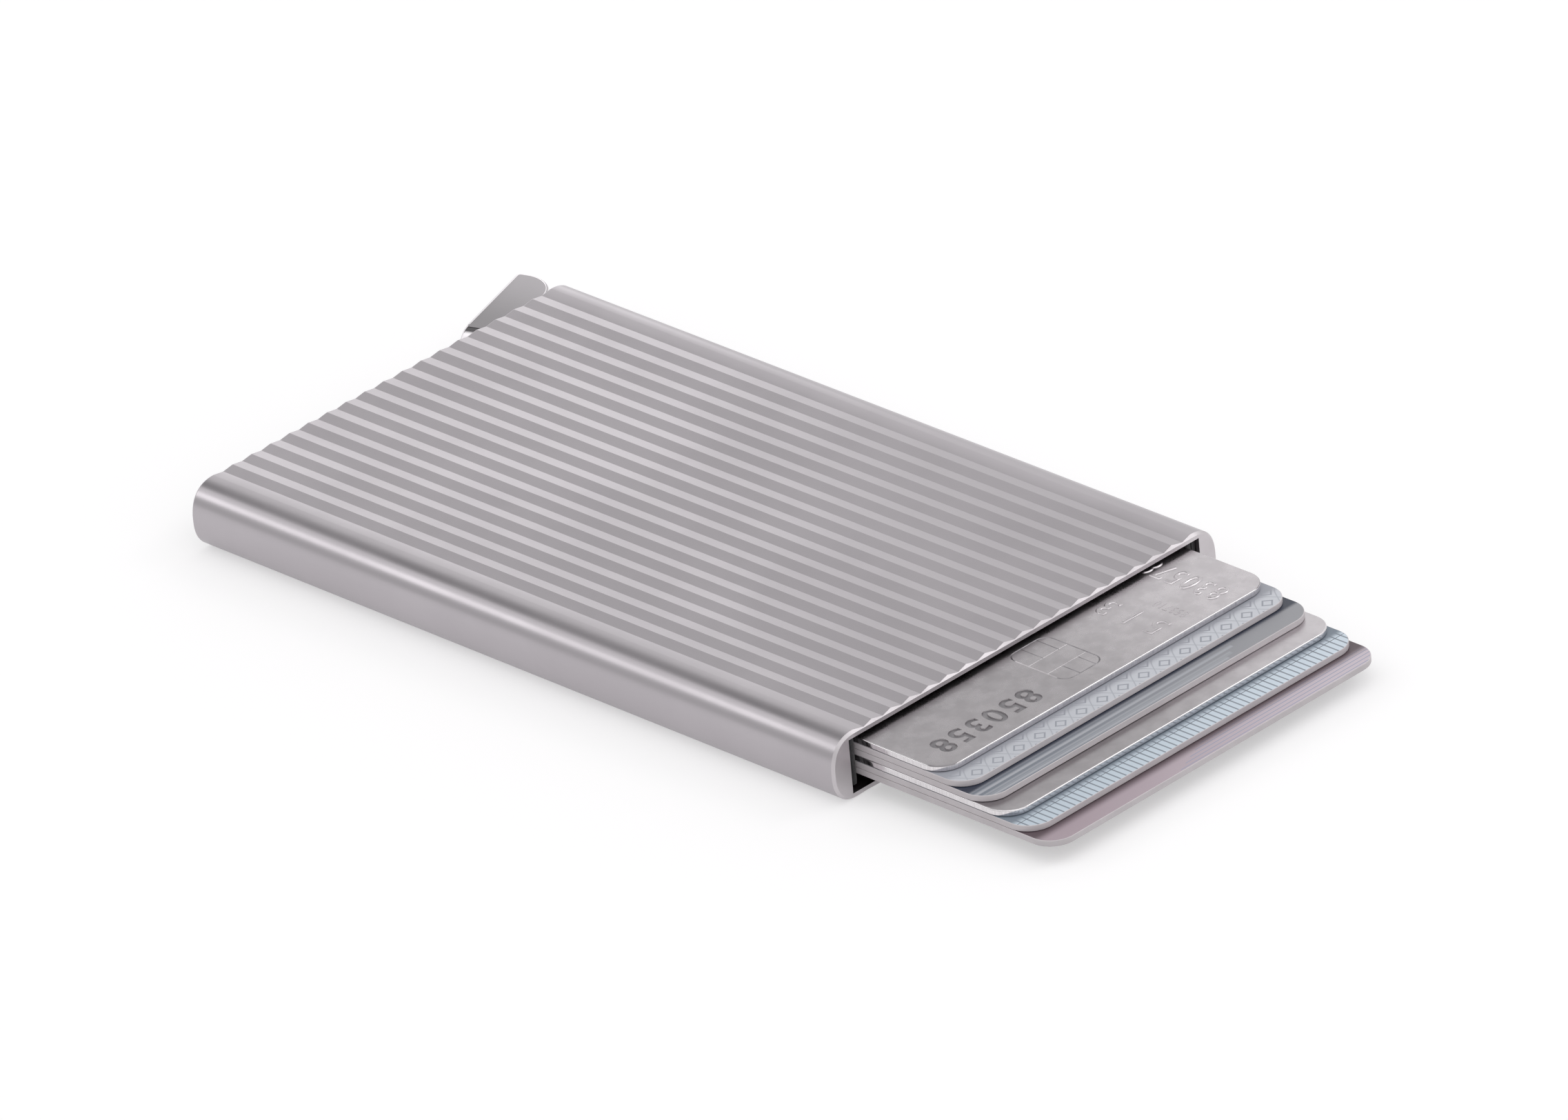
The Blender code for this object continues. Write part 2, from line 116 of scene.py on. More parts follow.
def shade(red: int, green: int, blue: int) -> Colour:
    """Turn a display colour into the linear colour that shaders take.

    Args:
        red: Red as displayed, 0 to 255.
        green: Green as displayed, 0 to 255.
        blue: Blue as displayed, 0 to 255.

    Returns:
        The linear colour with full alpha.
    """
    def linear(value: int) -> float:
        """Undo the display curve of one channel."""
        part = value / 255
        return part / 12.92 if part <= 0.04045 else ((part + 0.055) / 1.055) ** 2.4

    return linear(red), linear(green), linear(blue), 1.0


class Bench:
    """The modelling moves that the pieces share."""

    @staticmethod
    def take(item: Piece) -> None:
        """Select one object alone and make it active.

        Args:
            item: The object.
        """
        bpy.ops.object.select_all(action="DESELECT")
        item.select_set(True)
        bpy.context.view_layer.objects.active = item

    @staticmethod
    def set_in_place(item: Piece) -> None:
        """Move an object's place, turn and scale into its mesh."""
        Bench.take(item)
        bpy.ops.object.transform_apply(location=True, rotation=True, scale=True)

    @staticmethod
    def block(name: str, low: Sequence[float], high: Sequence[float]) -> Piece:
        """Add a plain block between two corners.

        Args:
            name: The object's name.
            low: The block's lowest corner.
            high: The block's highest corner.

        Returns:
            The block, with its place in its mesh.
        """
        bpy.ops.object.select_all(action="DESELECT")
        centre = [(a + b) / 2 for a, b in zip(low, high)]
        bpy.ops.mesh.primitive_cube_add(size=1, location=centre)
        item = bpy.context.object
        item.name = name
        item.scale = [b - a for a, b in zip(low, high)]
        Bench.set_in_place(item)
        return item

    @staticmethod
    @contextmanager
    def whole(item: Piece) -> Iterator[None]:
        """Hold a piece in edit mode with its whole mesh selected.

        Args:
            item: The piece.
        """
        Bench.take(item)
        bpy.ops.object.mode_set(mode="EDIT")
        bpy.ops.mesh.select_all(action="SELECT")
        yield
        bpy.ops.object.mode_set(mode="OBJECT")

    @staticmethod
    @contextmanager
    def picked(item: Piece, kind: Pick, test: Callable[..., bool]) -> Iterator[None]:
        """Hold a piece in edit mode with what passes a test selected.

        Args:
            item: The piece.
            kind: Whether points, edges or faces are tested.
            test: Takes a point's place, an edge's two ends or a face's centre and normal.
        """
        Bench.take(item)
        bpy.ops.object.mode_set(mode="EDIT")
        bpy.ops.mesh.select_mode(type=kind.value)
        bpy.ops.mesh.select_all(action="DESELECT")
        bpy.ops.object.mode_set(mode="OBJECT")
        mesh = item.data
        if kind is Pick.POINTS:
            for point in mesh.vertices:
                point.select = test(point.co)
        elif kind is Pick.EDGES:
            for edge in mesh.edges:
                edge.select = test(*(mesh.vertices[index].co for index in edge.vertices))
        else:
            for face in mesh.polygons:
                face.select = test(face.center, face.normal)
        bpy.ops.object.mode_set(mode="EDIT")
        yield
        bpy.ops.object.mode_set(mode="OBJECT")

    @staticmethod
    def move_points(item: Piece, test: Callable[[Vector], bool], shift: Point) -> None:
        """Move the points that pass a test."""
        with Bench.picked(item, Pick.POINTS, test):
            bpy.ops.transform.translate(value=shift)

    @staticmethod
    def bevel(item: Piece, test: EdgeTest, width: float, segments: int,
              profile: float = 0.5) -> None:
        """Bevel the edges whose two ends pass a test.

        Args:
            item: The object to work on.
            test: Picks an edge by its two ends.
            width: The bevel's width.
            segments: How many faces make the bevel.
            profile: The bevel's fullness; 0.5 is round.
        """
        with Bench.picked(item, Pick.EDGES, test):
            bpy.ops.mesh.bevel(offset=width, segments=segments, profile=profile, affect="EDGES")
            bpy.ops.mesh.select_all(action="SELECT")
            bpy.ops.mesh.remove_doubles(threshold=MERGE)

    @staticmethod
    def combine(item: Piece, other: Piece, join: Join) -> None:
        """Combine an object with another, which is used up.

        Args:
            item: The object that stays.
            other: The object that is cut off, added or kept in common.
            join: How they are combined.
        """
        modifier = item.modifiers.new(other.name, "BOOLEAN")
        modifier.operation = join.value
        modifier.solver = "EXACT"
        modifier.object = other
        Bench.take(item)
        bpy.ops.object.modifier_apply(modifier=modifier.name)
        bpy.data.objects.remove(other, do_unlink=True)

    @staticmethod
    def round_sharp_edges(item: Piece, width: float, segments: int, clamp: bool = True) -> None:
        """Ease every sharp edge of a piece with a narrow bevel.

        Args:
            item: The piece.
            width: The bevel's width.
            segments: How many faces make the bevel.
            clamp: Whether the bevel narrows where it has no room.
        """
        modifier = item.modifiers.new("eased_edges", "BEVEL")
        modifier.use_clamp_overlap = clamp
        modifier.width = width
        modifier.segments = segments
        modifier.limit_method = "ANGLE"
        modifier.angle_limit = SHARP
        modifier.miter_outer = "MITER_ARC"
        Bench.take(item)
        bpy.ops.object.modifier_apply(modifier=modifier.name)

    @staticmethod
    def finish(item: Piece, angle: float, flat_faces: bool = True) -> None:
        """Merge doubles, turn the faces outwards and shade round stretches smooth.

        Args:
            item: The piece.
            angle: The steepest edge that is shaded smooth.
            flat_faces: Whether broad faces keep their own direction at such an edge.
        """
        with Bench.whole(item):
            bpy.ops.mesh.remove_doubles(threshold=MERGE)
            bpy.ops.mesh.normals_make_consistent(inside=False)
        bpy.ops.object.shade_smooth_by_angle(angle=angle)
        if flat_faces:
            modifier = item.modifiers.new("flat_faces", "WEIGHTED_NORMAL")
            modifier.keep_sharp = True
            bpy.ops.object.modifier_apply(modifier=modifier.name)

    @staticmethod
    def copy_of_node(node: str, name: str) -> Piece:
        """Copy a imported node's mesh and merge its loose triangles.

        Args:
            node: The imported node.
            name: The copy's name.

        Returns:
            The copy, free of its body, with flat stretches as single faces.
        """
        mesh = frame["nodes"][node].data.copy()
        item = bpy.data.objects.new(name, mesh)
        bpy.context.scene.collection.objects.link(item)
        mesh.materials.clear()
        with Bench.whole(item):
            bpy.ops.mesh.customdata_custom_splitnormals_clear()
            bpy.ops.mesh.remove_doubles(threshold=MERGE)
            bpy.ops.mesh.dissolve_limited(angle_limit=ONE_PLANE)
        return item

    @staticmethod
    def paint(item: Piece, materials: Sequence[Material],
              choose: Callable[[Vector, Vector], int] = lambda centre, normal: 0) -> None:
        """Give a piece its materials, face by face.

        Args:
            item: The piece.
            materials: The materials, in the order that choose counts them.
            choose: Gives a material's number for a face's centre and normal.
        """
        item.data.materials.clear()
        for material in materials:
            item.data.materials.append(material)
        for face in item.data.polygons:
            face.material_index = choose(face.center, face.normal)


class Graph:
    """Adds and joins the nodes of one node tree."""

    def __init__(self, tree: NodeTree) -> None:
        """Start on a node tree."""
        self.tree = tree

    def set_input(self, socket: Socket, value: object) -> None:
        """Link a socket to another, or give it a plain value.

        Args:
            socket: The input socket.
            value: An output socket or a value.
        """
        if isinstance(value, Socket):
            self.tree.links.new(value, socket)
        else:
            socket.default_value = value

    def add(self, kind: str, inputs: dict[str | int, object] | None = None,
            **settings: object) -> Node:
        """Add a node with its settings and inputs.

        Args:
            kind: The node's type.
            inputs: Values or sockets for the inputs, by name or place.
            **settings: The node's own settings.

        Returns:
            The new node.
        """
        node = self.tree.nodes.new(kind)
        for name, value in settings.items():
            setattr(node, name, value)
        for key, value in (inputs or {}).items():
            self.set_input(node.inputs[key], value)
        return node

    def math(self, operation: str, *values: object) -> Socket:
        """Add a Math node and give its result."""
        return self.add("ShaderNodeMath", dict(enumerate(values)), operation=operation).outputs[0]

    def fold(self, operation: str, *values: object) -> Socket:
        """Join any number of values with one operation."""
        return reduce(lambda first, second: self.math(operation, first, second), values)

    def away(self, value: object, centre: float) -> Socket:
        """Give how far a value is from another, either way."""
        return self.math("ABSOLUTE", self.math("SUBTRACT", value, centre))

    def ease(self, value: object, low: object, high: object, start: object = 0.0,
             end: object = 1.0) -> Socket:
        """Map a value from one range to another on a smooth step."""
        inputs = {"Value": value, "From Min": low, "From Max": high, "To Min": start, "To Max": end}
        return self.add("ShaderNodeMapRange", inputs, interpolation_type="SMOOTHSTEP").outputs["Result"]

    def mix(self, share: object, first: object, second: object) -> Socket:
        """Mix two colours."""
        return self.add("ShaderNodeMix", {0: share, 6: first, 7: second}, data_type="RGBA").outputs[2]

    def noise(self, vector: object, scale: object, detail: float, roughness: float) -> Socket:
        """Add plain noise and give its value."""
        inputs = {"Vector": vector, "Scale": scale, "Detail": detail, "Roughness": roughness}
        return self.add("ShaderNodeTexNoise", inputs).outputs[0]

    def group(self, tree: NodeTree, inputs: dict[str, object]) -> Sequence[Socket]:
        """Place a shared node group with its own values.

        Args:
            tree: The group.
            inputs: Values or sockets for its inputs, by name.

        Returns:
            The group's outputs, which are found by name.
        """
        node = self.tree.nodes.new("ShaderNodeGroup")
        node.node_tree = tree
        for key, value in inputs.items():
            self.set_input(node.inputs[key], value)
        return node.outputs


class SharedEffects:
    """Node groups that more than one finish uses."""

    line_softness: float = 0.04

    def __init__(self) -> None:
        """Build each group once."""
        self.grain = self._grain()
        self.streaks = self._streaks()
        self.lines = self._lines()

    @staticmethod
    def _start(name: str, vectors: Sequence[str], numbers: Sequence[str],
               outputs: Sequence[str]) -> tuple[Graph, Sequence[Socket], Sequence[Socket]]:
        """Open a node group with its sockets.

        Args:
            name: The group's name.
            vectors: The names of the vector inputs.
            numbers: The names of the plain inputs.
            outputs: The names of the plain outputs.

        Returns:
            The graph, what the group is given and what it has to give.
        """
        tree = bpy.data.node_groups.new(name, "ShaderNodeTree")
        for labels, way, kind in ((vectors, "INPUT", "Vector"), (numbers, "INPUT", "Float"),
                                  (outputs, "OUTPUT", "Float")):
            for label in labels:
                tree.interface.new_socket(label, in_out=way, socket_type=f"NodeSocket{kind}")
        graph = Graph(tree)
        return graph, graph.add("NodeGroupInput").outputs, graph.add("NodeGroupOutput").inputs

    def _grain(self) -> NodeTree:
        """Fine grain for a height, with broad clouds for tone and roughness."""
        graph, given, result = self._start(
            "surface_grain", ("Vector",), ("Grain Scale", "Cloud Scale", "Cloud Low", "Cloud High"),
            ("Height", "Cloud"))
        fine = graph.noise(given["Vector"], given["Grain Scale"], 3.0, 0.6)
        broad = graph.noise(given["Vector"], given["Cloud Scale"], 4.0, 0.62)
        cloud = graph.ease(broad, 0.3, 0.7, given["Cloud Low"], given["Cloud High"])
        graph.set_input(result["Height"], fine)
        graph.set_input(result["Cloud"], cloud)
        return graph.tree

    def _streaks(self) -> NodeTree:
        """Long thin streaks along the axis whose stretch is small."""
        graph, given, result = self._start("brushed_streaks", ("Vector", "Stretch"), (),
                                           ("Height", "Tone"))
        vector = graph.add("ShaderNodeVectorMath", {0: given["Vector"], 1: given["Stretch"]},
                           operation="MULTIPLY").outputs[0]
        value = graph.noise(vector, 1.0, 3.0, 0.65)
        graph.set_input(result["Height"], value)
        graph.set_input(result["Tone"], graph.ease(value, 0.32, 0.68))
        return graph.tree

    def _lines(self) -> NodeTree:
        """Evenly spaced printed lines across one coordinate."""
        graph, given, result = self._start("printed_lines", (), ("Position", "Pitch", "Width Share"),
                                           ("Mask",))
        part = graph.math("FRACT", graph.math("DIVIDE", given["Position"], given["Pitch"]))
        half = graph.math("MULTIPLY", given["Width Share"], 0.5)
        ends = [graph.math(operation, half, self.line_softness) for operation in ("SUBTRACT", "ADD")]
        graph.set_input(result["Mask"], graph.ease(graph.away(part, 0.5), *ends, 1.0, 0.0))
        return graph.tree


effects = SharedEffects()


class MaterialGraph(Graph):
    """The node tree of one new material."""

    def __init__(self, name: str) -> None:
        """Open the material."""
        self.material = bpy.data.materials.new(name)
        self.material.use_nodes = True
        super().__init__(self.material.node_tree)
        self.shader = self.tree.nodes["Principled BSDF"].inputs

    def place(self) -> Socket:
        """Give the Object coordinates."""
        return self.add("ShaderNodeTexCoord").outputs["Object"]

    def lines(self, position: object, pitch: float, share: float) -> Socket:
        """Give the mask of evenly spaced lines."""
        inputs = {"Position": position, "Pitch": pitch, "Width Share": share}
        return self.group(effects.lines, inputs)["Mask"]

    def grain(self, place: Socket, size: float, cloud: float, low: float = 0.0,
              high: float = 1.0) -> Sequence[Socket]:
        """Give fine grain and broad clouds, whose sizes are in millimetres."""
        return self.group(effects.grain, {
            "Vector": place, "Grain Scale": 1 / (size * MM), "Cloud Scale": 1 / (cloud * MM),
            "Cloud Low": low, "Cloud High": high})

    def dress(self, colour: object, roughness: object, height: object, relief: float,
              strength: float = 1.0, metallic: float = 0.0) -> Material:
        """Give the shader its looks.

        Args:
            colour: The base colour.
            roughness: The roughness.
            height: The pattern that stands out of the surface.
            relief: How far it stands out, in millimetres.
            strength: How much of that shows.
            metallic: How metallic the surface is.

        Returns:
            The material.
        """
        bump = self.add("ShaderNodeBump", {"Strength": strength, "Distance": relief * MM,
                                           "Height": height})
        looks = {"Base Color": colour, "Roughness": roughness, "Metallic": metallic,
                 "Normal": bump.outputs[0]}
        for name, value in looks.items():
            self.set_input(self.shader[name], value)
        return self.material


@dataclass(frozen=True)
class GrainFinish:
    """A finish with fine grain, and broad clouds of tone and roughness.

    Its sizes are in millimetres. Over a band along X it can be dimmed towards -X, which
    stands for light that falls off.
    """

    name: str
    light: Colour
    dark: Colour
    metallic: float
    roughness: Span
    grain: float
    cloud: float
    relief: float
    sheen: float = 0.0
    dimmed: float = 0.0
    dimmed_band: Span = (-8.0 * MM, 25.0 * MM)

    def make(self) -> Material:
        """Build the material."""
        graph = MaterialGraph(self.name)
        place = graph.place()
        grain = graph.grain(place, self.grain, self.cloud)
        tone = graph.mix(grain["Cloud"], self.dark, self.light)
        if self.dimmed:
            across = graph.add("ShaderNodeSeparateXYZ", {0: place}).outputs[0]
            tone = graph.mix(graph.ease(across, *self.dimmed_band, self.dimmed, 0.0), tone, BLACK)
        low, high = self.roughness
        graph.shader["Sheen Weight"].default_value = self.sheen
        return graph.dress(tone, graph.ease(grain["Cloud"], 0.0, 1.0, high, low), grain["Height"],
                           self.relief, metallic=self.metallic)


@dataclass(frozen=True)
class StreakFinish:
    """A brushed metal finish. A streak's size along X, Y and Z is in millimetres."""

    name: str
    light: Colour
    dark: Colour
    roughness: Span
    streak: Point
    relief: float

    def make(self) -> Material:
        """Build the material."""
        graph = MaterialGraph(self.name)
        stretch = tuple(1 / (size * MM) for size in self.streak)
        streaks = graph.group(effects.streaks, {"Vector": graph.place(), "Stretch": stretch})
        tone = streaks["Tone"]
        return graph.dress(graph.mix(tone, self.dark, self.light),
                           graph.ease(tone, 0.0, 1.0, *self.roughness), streaks["Height"],
                           self.relief, metallic=1.0)


@dataclass(frozen=True)
class PrintFinish:
    """A printed card face: a ground colour with generic line work over it.

    The ground goes from one colour at the -X side to another at the +X side. Over a band in
    from the front edge, next to the card above, it goes to a painted shade: that card's shade
    and reflection. Grain, cloud and relief are in millimetres.
    """

    name: str
    near: Colour
    far: Colour
    ink: Colour
    # painted shade: the shade and reflection of the card above, over the band in from the front edge
    painted_shade: Colour
    front: float
    half_width: float
    # where that painted shade of the card above starts, and where it is full
    painted_shade_band: Span = (1.9 * MM, 3.3 * MM)
    roughness: Span = (0.3, 0.38)
    grain: float = 0.06
    cloud: float = 9
    relief: float = 0.002
    relief_strength: float = 0.3

    def line_work(self, graph: MaterialGraph, across: Socket, along: Socket) -> Socket:
        """Give the mask of the printed lines.

        Args:
            graph: The material's graph.
            across: The place along X, from the card's middle.
            along: The place along Y, from the card's front edge.

        Returns:
            The mask, 1 where there is ink.
        """
        raise NotImplementedError

    def make(self) -> Material:
        """Build the material."""
        graph = MaterialGraph(self.name)
        place = graph.place()
        moved = graph.add("ShaderNodeMapping", {"Vector": place, "Location": (0, -self.front, 0)})
        across, along, _ = graph.add("ShaderNodeSeparateXYZ", {0: moved.outputs[0]}).outputs
        ground = graph.mix(graph.ease(across, -self.half_width, self.half_width), self.near, self.far)
        face_colour = graph.mix(self.line_work(graph, across, along), ground, self.ink)
        # Paint the shade and reflection of the card above over the band next to it.
        face_colour = graph.mix(graph.ease(along, *self.painted_shade_band), face_colour, self.painted_shade)
        grain = graph.grain(place, self.grain, self.cloud, *self.roughness)
        return graph.dress(face_colour, grain["Cloud"], grain["Height"], self.relief,
                           self.relief_strength)


@dataclass(frozen=True)
class WaveLatticePrint(PrintFinish):
    """Two families of waved lines that cross, with a hollow lozenge in each eye."""

    eye: Span = (3.4 * MM, 3.5 * MM)  # across and along, as in the lozenge
    first_row: float = 1.15 * MM
    lozenge: Span = (1.9 * MM, 1.75 * MM)
    ring: float = 0.84  # where its outline runs, from 0 in the middle to 1 at the corners
    ring_band: Span = (0.11, 0.2)  # where that outline starts to fade and where it ends
    line_share: float = 0.06
    line_strength: float = 0.7

    def lozenges(self, graph: Graph, across: Socket, along: Socket, shift: float) -> Socket:
        """Give the mask of the lozenges in one family of eyes.

        Args:
            graph: The material's graph.
            across: The place along X.
            along: The place along Y, from the first row.
            shift: How far the family is moved, as a share of an eye.

        Returns:
            The mask.
        """
        reach = []
        for place, size, width in zip((across, along), self.eye, self.lozenge):
            part = graph.math("FRACT", graph.math("ADD", graph.math("DIVIDE", place, size), shift))
            reach.append(graph.math("MULTIPLY", graph.away(part, 0.5), 2 * size / width))
        return graph.ease(graph.away(graph.math("ADD", *reach), self.ring), *self.ring_band, 1.0, 0.0)

    def line_work(self, graph: MaterialGraph, across: Socket, along: Socket) -> Socket:
        """Give the lattice's mask; see PrintFinish."""
        inward = graph.math("SUBTRACT", along, self.first_row)
        turn = graph.math("MULTIPLY", across, math.pi / self.eye[0])
        swing = graph.math("MULTIPLY", graph.math("COSINE", turn), self.eye[1] / 2)
        masks = [self.lozenges(graph, across, inward, shift) for shift in (0.5, 0.0)]
        for operation in ("ADD", "SUBTRACT"):
            warped = graph.math("ADD", graph.math(operation, inward, swing), self.eye[1] / 2)
            lines = graph.lines(warped, self.eye[1], self.line_share)
            masks.append(graph.math("MULTIPLY", lines, self.line_strength))
        return graph.fold("MAXIMUM", *masks)


@dataclass(frozen=True)
class BandPrint(PrintFinish):
    """Bands along the front edge that end in steps at one side."""

    pitch: float = 0.8 * MM
    width_share: float = 0.5
    limit: float = 14.0 * MM  # where the first band ends, along X
    step: float = 1.1 * MM  # how much further the next one reaches
    beyond: bool = False  # whether the bands lie beyond the limit, or before it
    second_strength: float = 0.0  # of a second family of bands that shows through
    second_spread: float = 1.7  # how many times wider that family's pitch is

    def line_work(self, graph: MaterialGraph, across: Socket, along: Socket) -> Socket:
        """Give the bands' mask; see PrintFinish."""
        bands = graph.lines(along, self.pitch, self.width_share)
        if self.second_strength:
            wide = graph.lines(along, self.pitch * self.second_spread, self.width_share)
            bands = graph.math("ADD", graph.math("MULTIPLY", bands, 1 - self.second_strength),
                               graph.math("MULTIPLY", wide, self.second_strength))
        count = graph.math("FLOOR", graph.math("DIVIDE", along, self.pitch))
        reach = graph.math("MULTIPLY_ADD", count, self.step, self.limit)
        past = graph.math("GREATER_THAN", across, reach)
        return graph.math("MULTIPLY", bands, past if self.beyond else graph.math("SUBTRACT", 1.0, past))


@dataclass(frozen=True)
class RulePrint(PrintFinish):
    """Fine rules square to the front edge, crossed by a painted reflection of the upper card's edge."""

    pitch: float = 0.92 * MM
    width_share: float = 0.24
    strength: float = 0.75
    # a dark line across the rules: the painted reflection of the edge of the card above
    reflected_edge_place: float = 2.35 * MM
    reflected_edge_band: Span = (0.03 * MM, 0.07 * MM)  # where the painted line starts to fade, and its end

    def line_work(self, graph: MaterialGraph, across: Socket, along: Socket) -> Socket:
        """Give the rules' mask; see PrintFinish."""
        rules = graph.math("MULTIPLY", graph.lines(across, self.pitch, self.width_share), self.strength)
        # Paint the reflection of the edge of the card above as one dark line across the rules.
        reflected_edge = graph.ease(graph.away(along, self.reflected_edge_place), *self.reflected_edge_band, 1.0, 0.0)
        return graph.math("MAXIMUM", rules, reflected_edge)


class Finishes:
    """Every material of the card holder that does not depend on a piece's place."""

    def __init__(self) -> None:
        """Build the materials."""
        metal, dull = 1.0, 0.0
        self.anodised = GrainFinish(
            "satin_anodising", shade(192, 187, 191), shade(188, 183, 187), metal, (0.28, 0.32),
            0.07, 22, 0.0012).make()
        self.machined = GrainFinish(
            "machined_rim", shade(212, 207, 210), shade(206, 201, 204), metal, (0.38, 0.44),
            0.05, 6, 0.0015).make()
        self.chrome = GrainFinish(
            "polished_chrome", shade(190, 186, 189), shade(188, 184, 187), metal, (0.04, 0.06),
            0.3, 5, 0.0001, dimmed=0.42, dimmed_band=(17 * MM, 33 * MM)).make()
        # A lighter copy of the chrome: the painted highlight on the tab's rounded edges.
        self.chrome_painted_highlight = GrainFinish(
            "bright_chrome_edge", shade(243, 239, 242), shade(240, 236, 239), metal, (0.05, 0.08),
            0.3, 5, 0.0001).make()
        self.polished_rim = GrainFinish(
            "polished_card_rim", shade(236, 233, 235), shade(226, 223, 225), metal, (0.16, 0.22),
            0.3, 4, 0.0001).make()
        self.plastic = GrainFinish("moulded_plastic", shade(50, 50, 52), shade(40, 40, 42), dull,
                                   (0.38, 0.5), 0.12, 7, 0.006).make()
        self.felt = GrainFinish("dense_felt", shade(52, 51, 53), shade(34, 33, 35), dull,
                                (0.85, 0.95), 0.09, 0.6, 0.05, sheen=0.4).make()
        self.rubber = GrainFinish("matt_rubber", shade(52, 52, 52), shade(40, 40, 40), dull,
                                  (0.7, 0.85), 0.15, 3, 0.01).make()
        self.steel = StreakFinish("rolled_steel", shade(200, 200, 202), shade(176, 176, 178),
                                  (0.24, 0.36), (6, 0.08, 0.08), 0.002).make()
        self.card_cloudy = GrainFinish(
            "tumbled_card_metal", shade(216, 211, 214), shade(206, 201, 204), metal, (0.26, 0.32),
            0.4, 2.2, 0.0016, dimmed=0.38).make()
        self.card_satin = GrainFinish(
            "satin_card_metal", shade(216, 211, 214), shade(207, 202, 205), metal, (0.28, 0.34),
            0.35, 2.6, 0.0014, dimmed=0.38).make()
        # A darker, rougher copy of the card metal: painted shade in the pressed numbers and the pad's deep
        # grooves.
        self.shaded_recess = GrainFinish(
            "etched_number_floor", shade(148, 145, 148), shade(134, 131, 134), metal, (0.36, 0.46),
            0.08, 1.5, 0.002).make()
        self.card_edge = StreakFinish(
            "sheared_card_edge", shade(240, 237, 239), shade(220, 216, 218), (0.1, 0.18),
            (0.16, 0.16, 6), 0.0002).make()
        self.card_core = GrainFinish("card_core", shade(212, 206, 209), shade(204, 198, 201), dull,
                                     (0.4, 0.5), 0.1, 4, 0.003).make()


@dataclass
class Sleeve:
    """The drawn aluminium tube: fluted faces, round sides and a chamfered mouth."""

    surface: Material
    rim: Material
    face_wall: float = 0.8 * MM
    side_wall: float = 2.8 * MM
    side_reach: float = 3.86 * MM
    side_exponent: float = 2.4
    side_segments: int = 40
    valleys: int = 18
    flute_depth: float = 0.24 * MM
    land: float = 0.6 * MM
    chamfer: float = 0.32 * MM
    guide_skin: float = 0.01 * MM
    closed_round: float = 0.2 * MM
    closed_segments: int = 3
    notch_depth: float = 5.8 * MM
    notch_lip: float = 0.05 * MM
    smooth_angle: float = math.radians(12)
    rim_facing: float = 0.5  # how far the machined rim's normals point out of the mouth
    low: Vector = field(init=False)
    high: Vector = field(init=False)
    band: float = field(init=False)

    def __post_init__(self) -> None:
        """Read the tube's outer box from the frame, and how wide its fluted band is."""
        self.low, self.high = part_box("sleeve")
        self.band = self.high.x - self.side_reach

    def rounded_block(self, name: str, low: Vector, high: Vector) -> Piece:
        """Make a block whose two long sides are fully round.

        Args:
            name: The object's name.
            low: The block's lowest corner.
            high: The block's highest corner.

        Returns:
            The block.
        """
        reach, length = self.side_reach, high.y - low.y
        item = Bench.block(name, (low.x, low.y, -reach), (high.x, high.y, reach))
        profile = 0.25 ** (1 / self.side_exponent)  # the bevel's fullness for that exponent
        Bench.bevel(item, lambda a, b: abs(a.y - b.y) > length / 2, reach, self.side_segments, profile)
        item.scale.z = (high.z - low.z) / 2 / reach
        item.location.z = (low.z + high.z) / 2
        Bench.set_in_place(item)
        return item

    def cut_face(self, item: Piece, side: int, places: Sequence[float]) -> None:
        """Cut one broad face lengthwise.

        Args:
            item: The tube.
            side: 1 for the top and -1 for the underside.
            places: Where it is cut, along X.
        """
        for place in places:
            with Bench.picked(item, Pick.FACES, lambda centre, normal: abs(centre.x) < self.band
                              and normal.z * side > DEAD_LEVEL):
                bpy.ops.mesh.bisect(plane_co=(place, 0, 0), plane_no=(1, 0, 0))

    def flute(self, item: Piece) -> None:
        """Press the flutes into both broad faces.

        Args:
            item: The tube.
        """
        pitch = 2 * self.band / self.valleys
        valleys = [-self.band + (index + 0.5) * pitch for index in range(self.valleys)]
        ridges = [-self.band + index * pitch for index in range(1, self.valleys)]
        lands = [ridge + side * self.land / 2 for ridge in ridges for side in (-1, 1)]
        self.cut_face(item, 1, valleys + ridges)
        self.cut_face(item, -1, valleys + lands)
        for side, level in ((1, self.high.z), (-1, self.low.z)):
            Bench.move_points(item, lambda point: abs(point.z - level) < EPSILON and any(
                abs(point.x - valley) < EPSILON for valley in valleys), (0, 0, -side * self.flute_depth))

    def build(self) -> Piece:
        """Model the sleeve and dress it."""
        low, high = self.low.copy(), self.high.copy()
        item = self.rounded_block("drawn_sleeve", low - Vector((0, OVERRUN, 0)), high)
        self.flute(item)
        Bench.bevel(item, lambda a, b: min(a.y, b.y) > high.y - EPSILON, self.closed_round,
                    self.closed_segments)
        skin = self.guide_skin
        guide = self.rounded_block("chamfer_guide", low - Vector((skin, 0, skin)),
                                   high + Vector((skin, OVERRUN, skin)))
        Bench.bevel(guide, lambda a, b: max(a.y, b.y) < low.y + EPSILON, self.chamfer + skin, 1)
        Bench.combine(item, guide, Join.KEEP_COMMON)
        inner = high.x - self.side_wall
        bore = Bench.block("bore_cutter", (-inner, low.y - OVERRUN, low.z + self.face_wall),
                           (inner, high.y + OVERRUN, high.z - self.face_wall))
        Bench.combine(item, bore, Join.CUT)
        lip = self.face_wall + self.notch_lip
        notch = Bench.block("notch_cutter", (inner - OVERRUN, high.y - self.notch_depth, low.z + lip),
                            (high.x + OVERRUN, high.y + OVERRUN, high.z - lip))
        Bench.combine(item, notch, Join.CUT)
        Bench.finish(item, self.smooth_angle, flat_faces=False)
        rim = low.y + self.chamfer + EPSILON
        Bench.paint(item, (self.surface, self.rim),
                    lambda centre, normal: int(centre.y < rim and normal.y < -self.rim_facing))
        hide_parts("sleeve")
        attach(item, "holder")
        return item


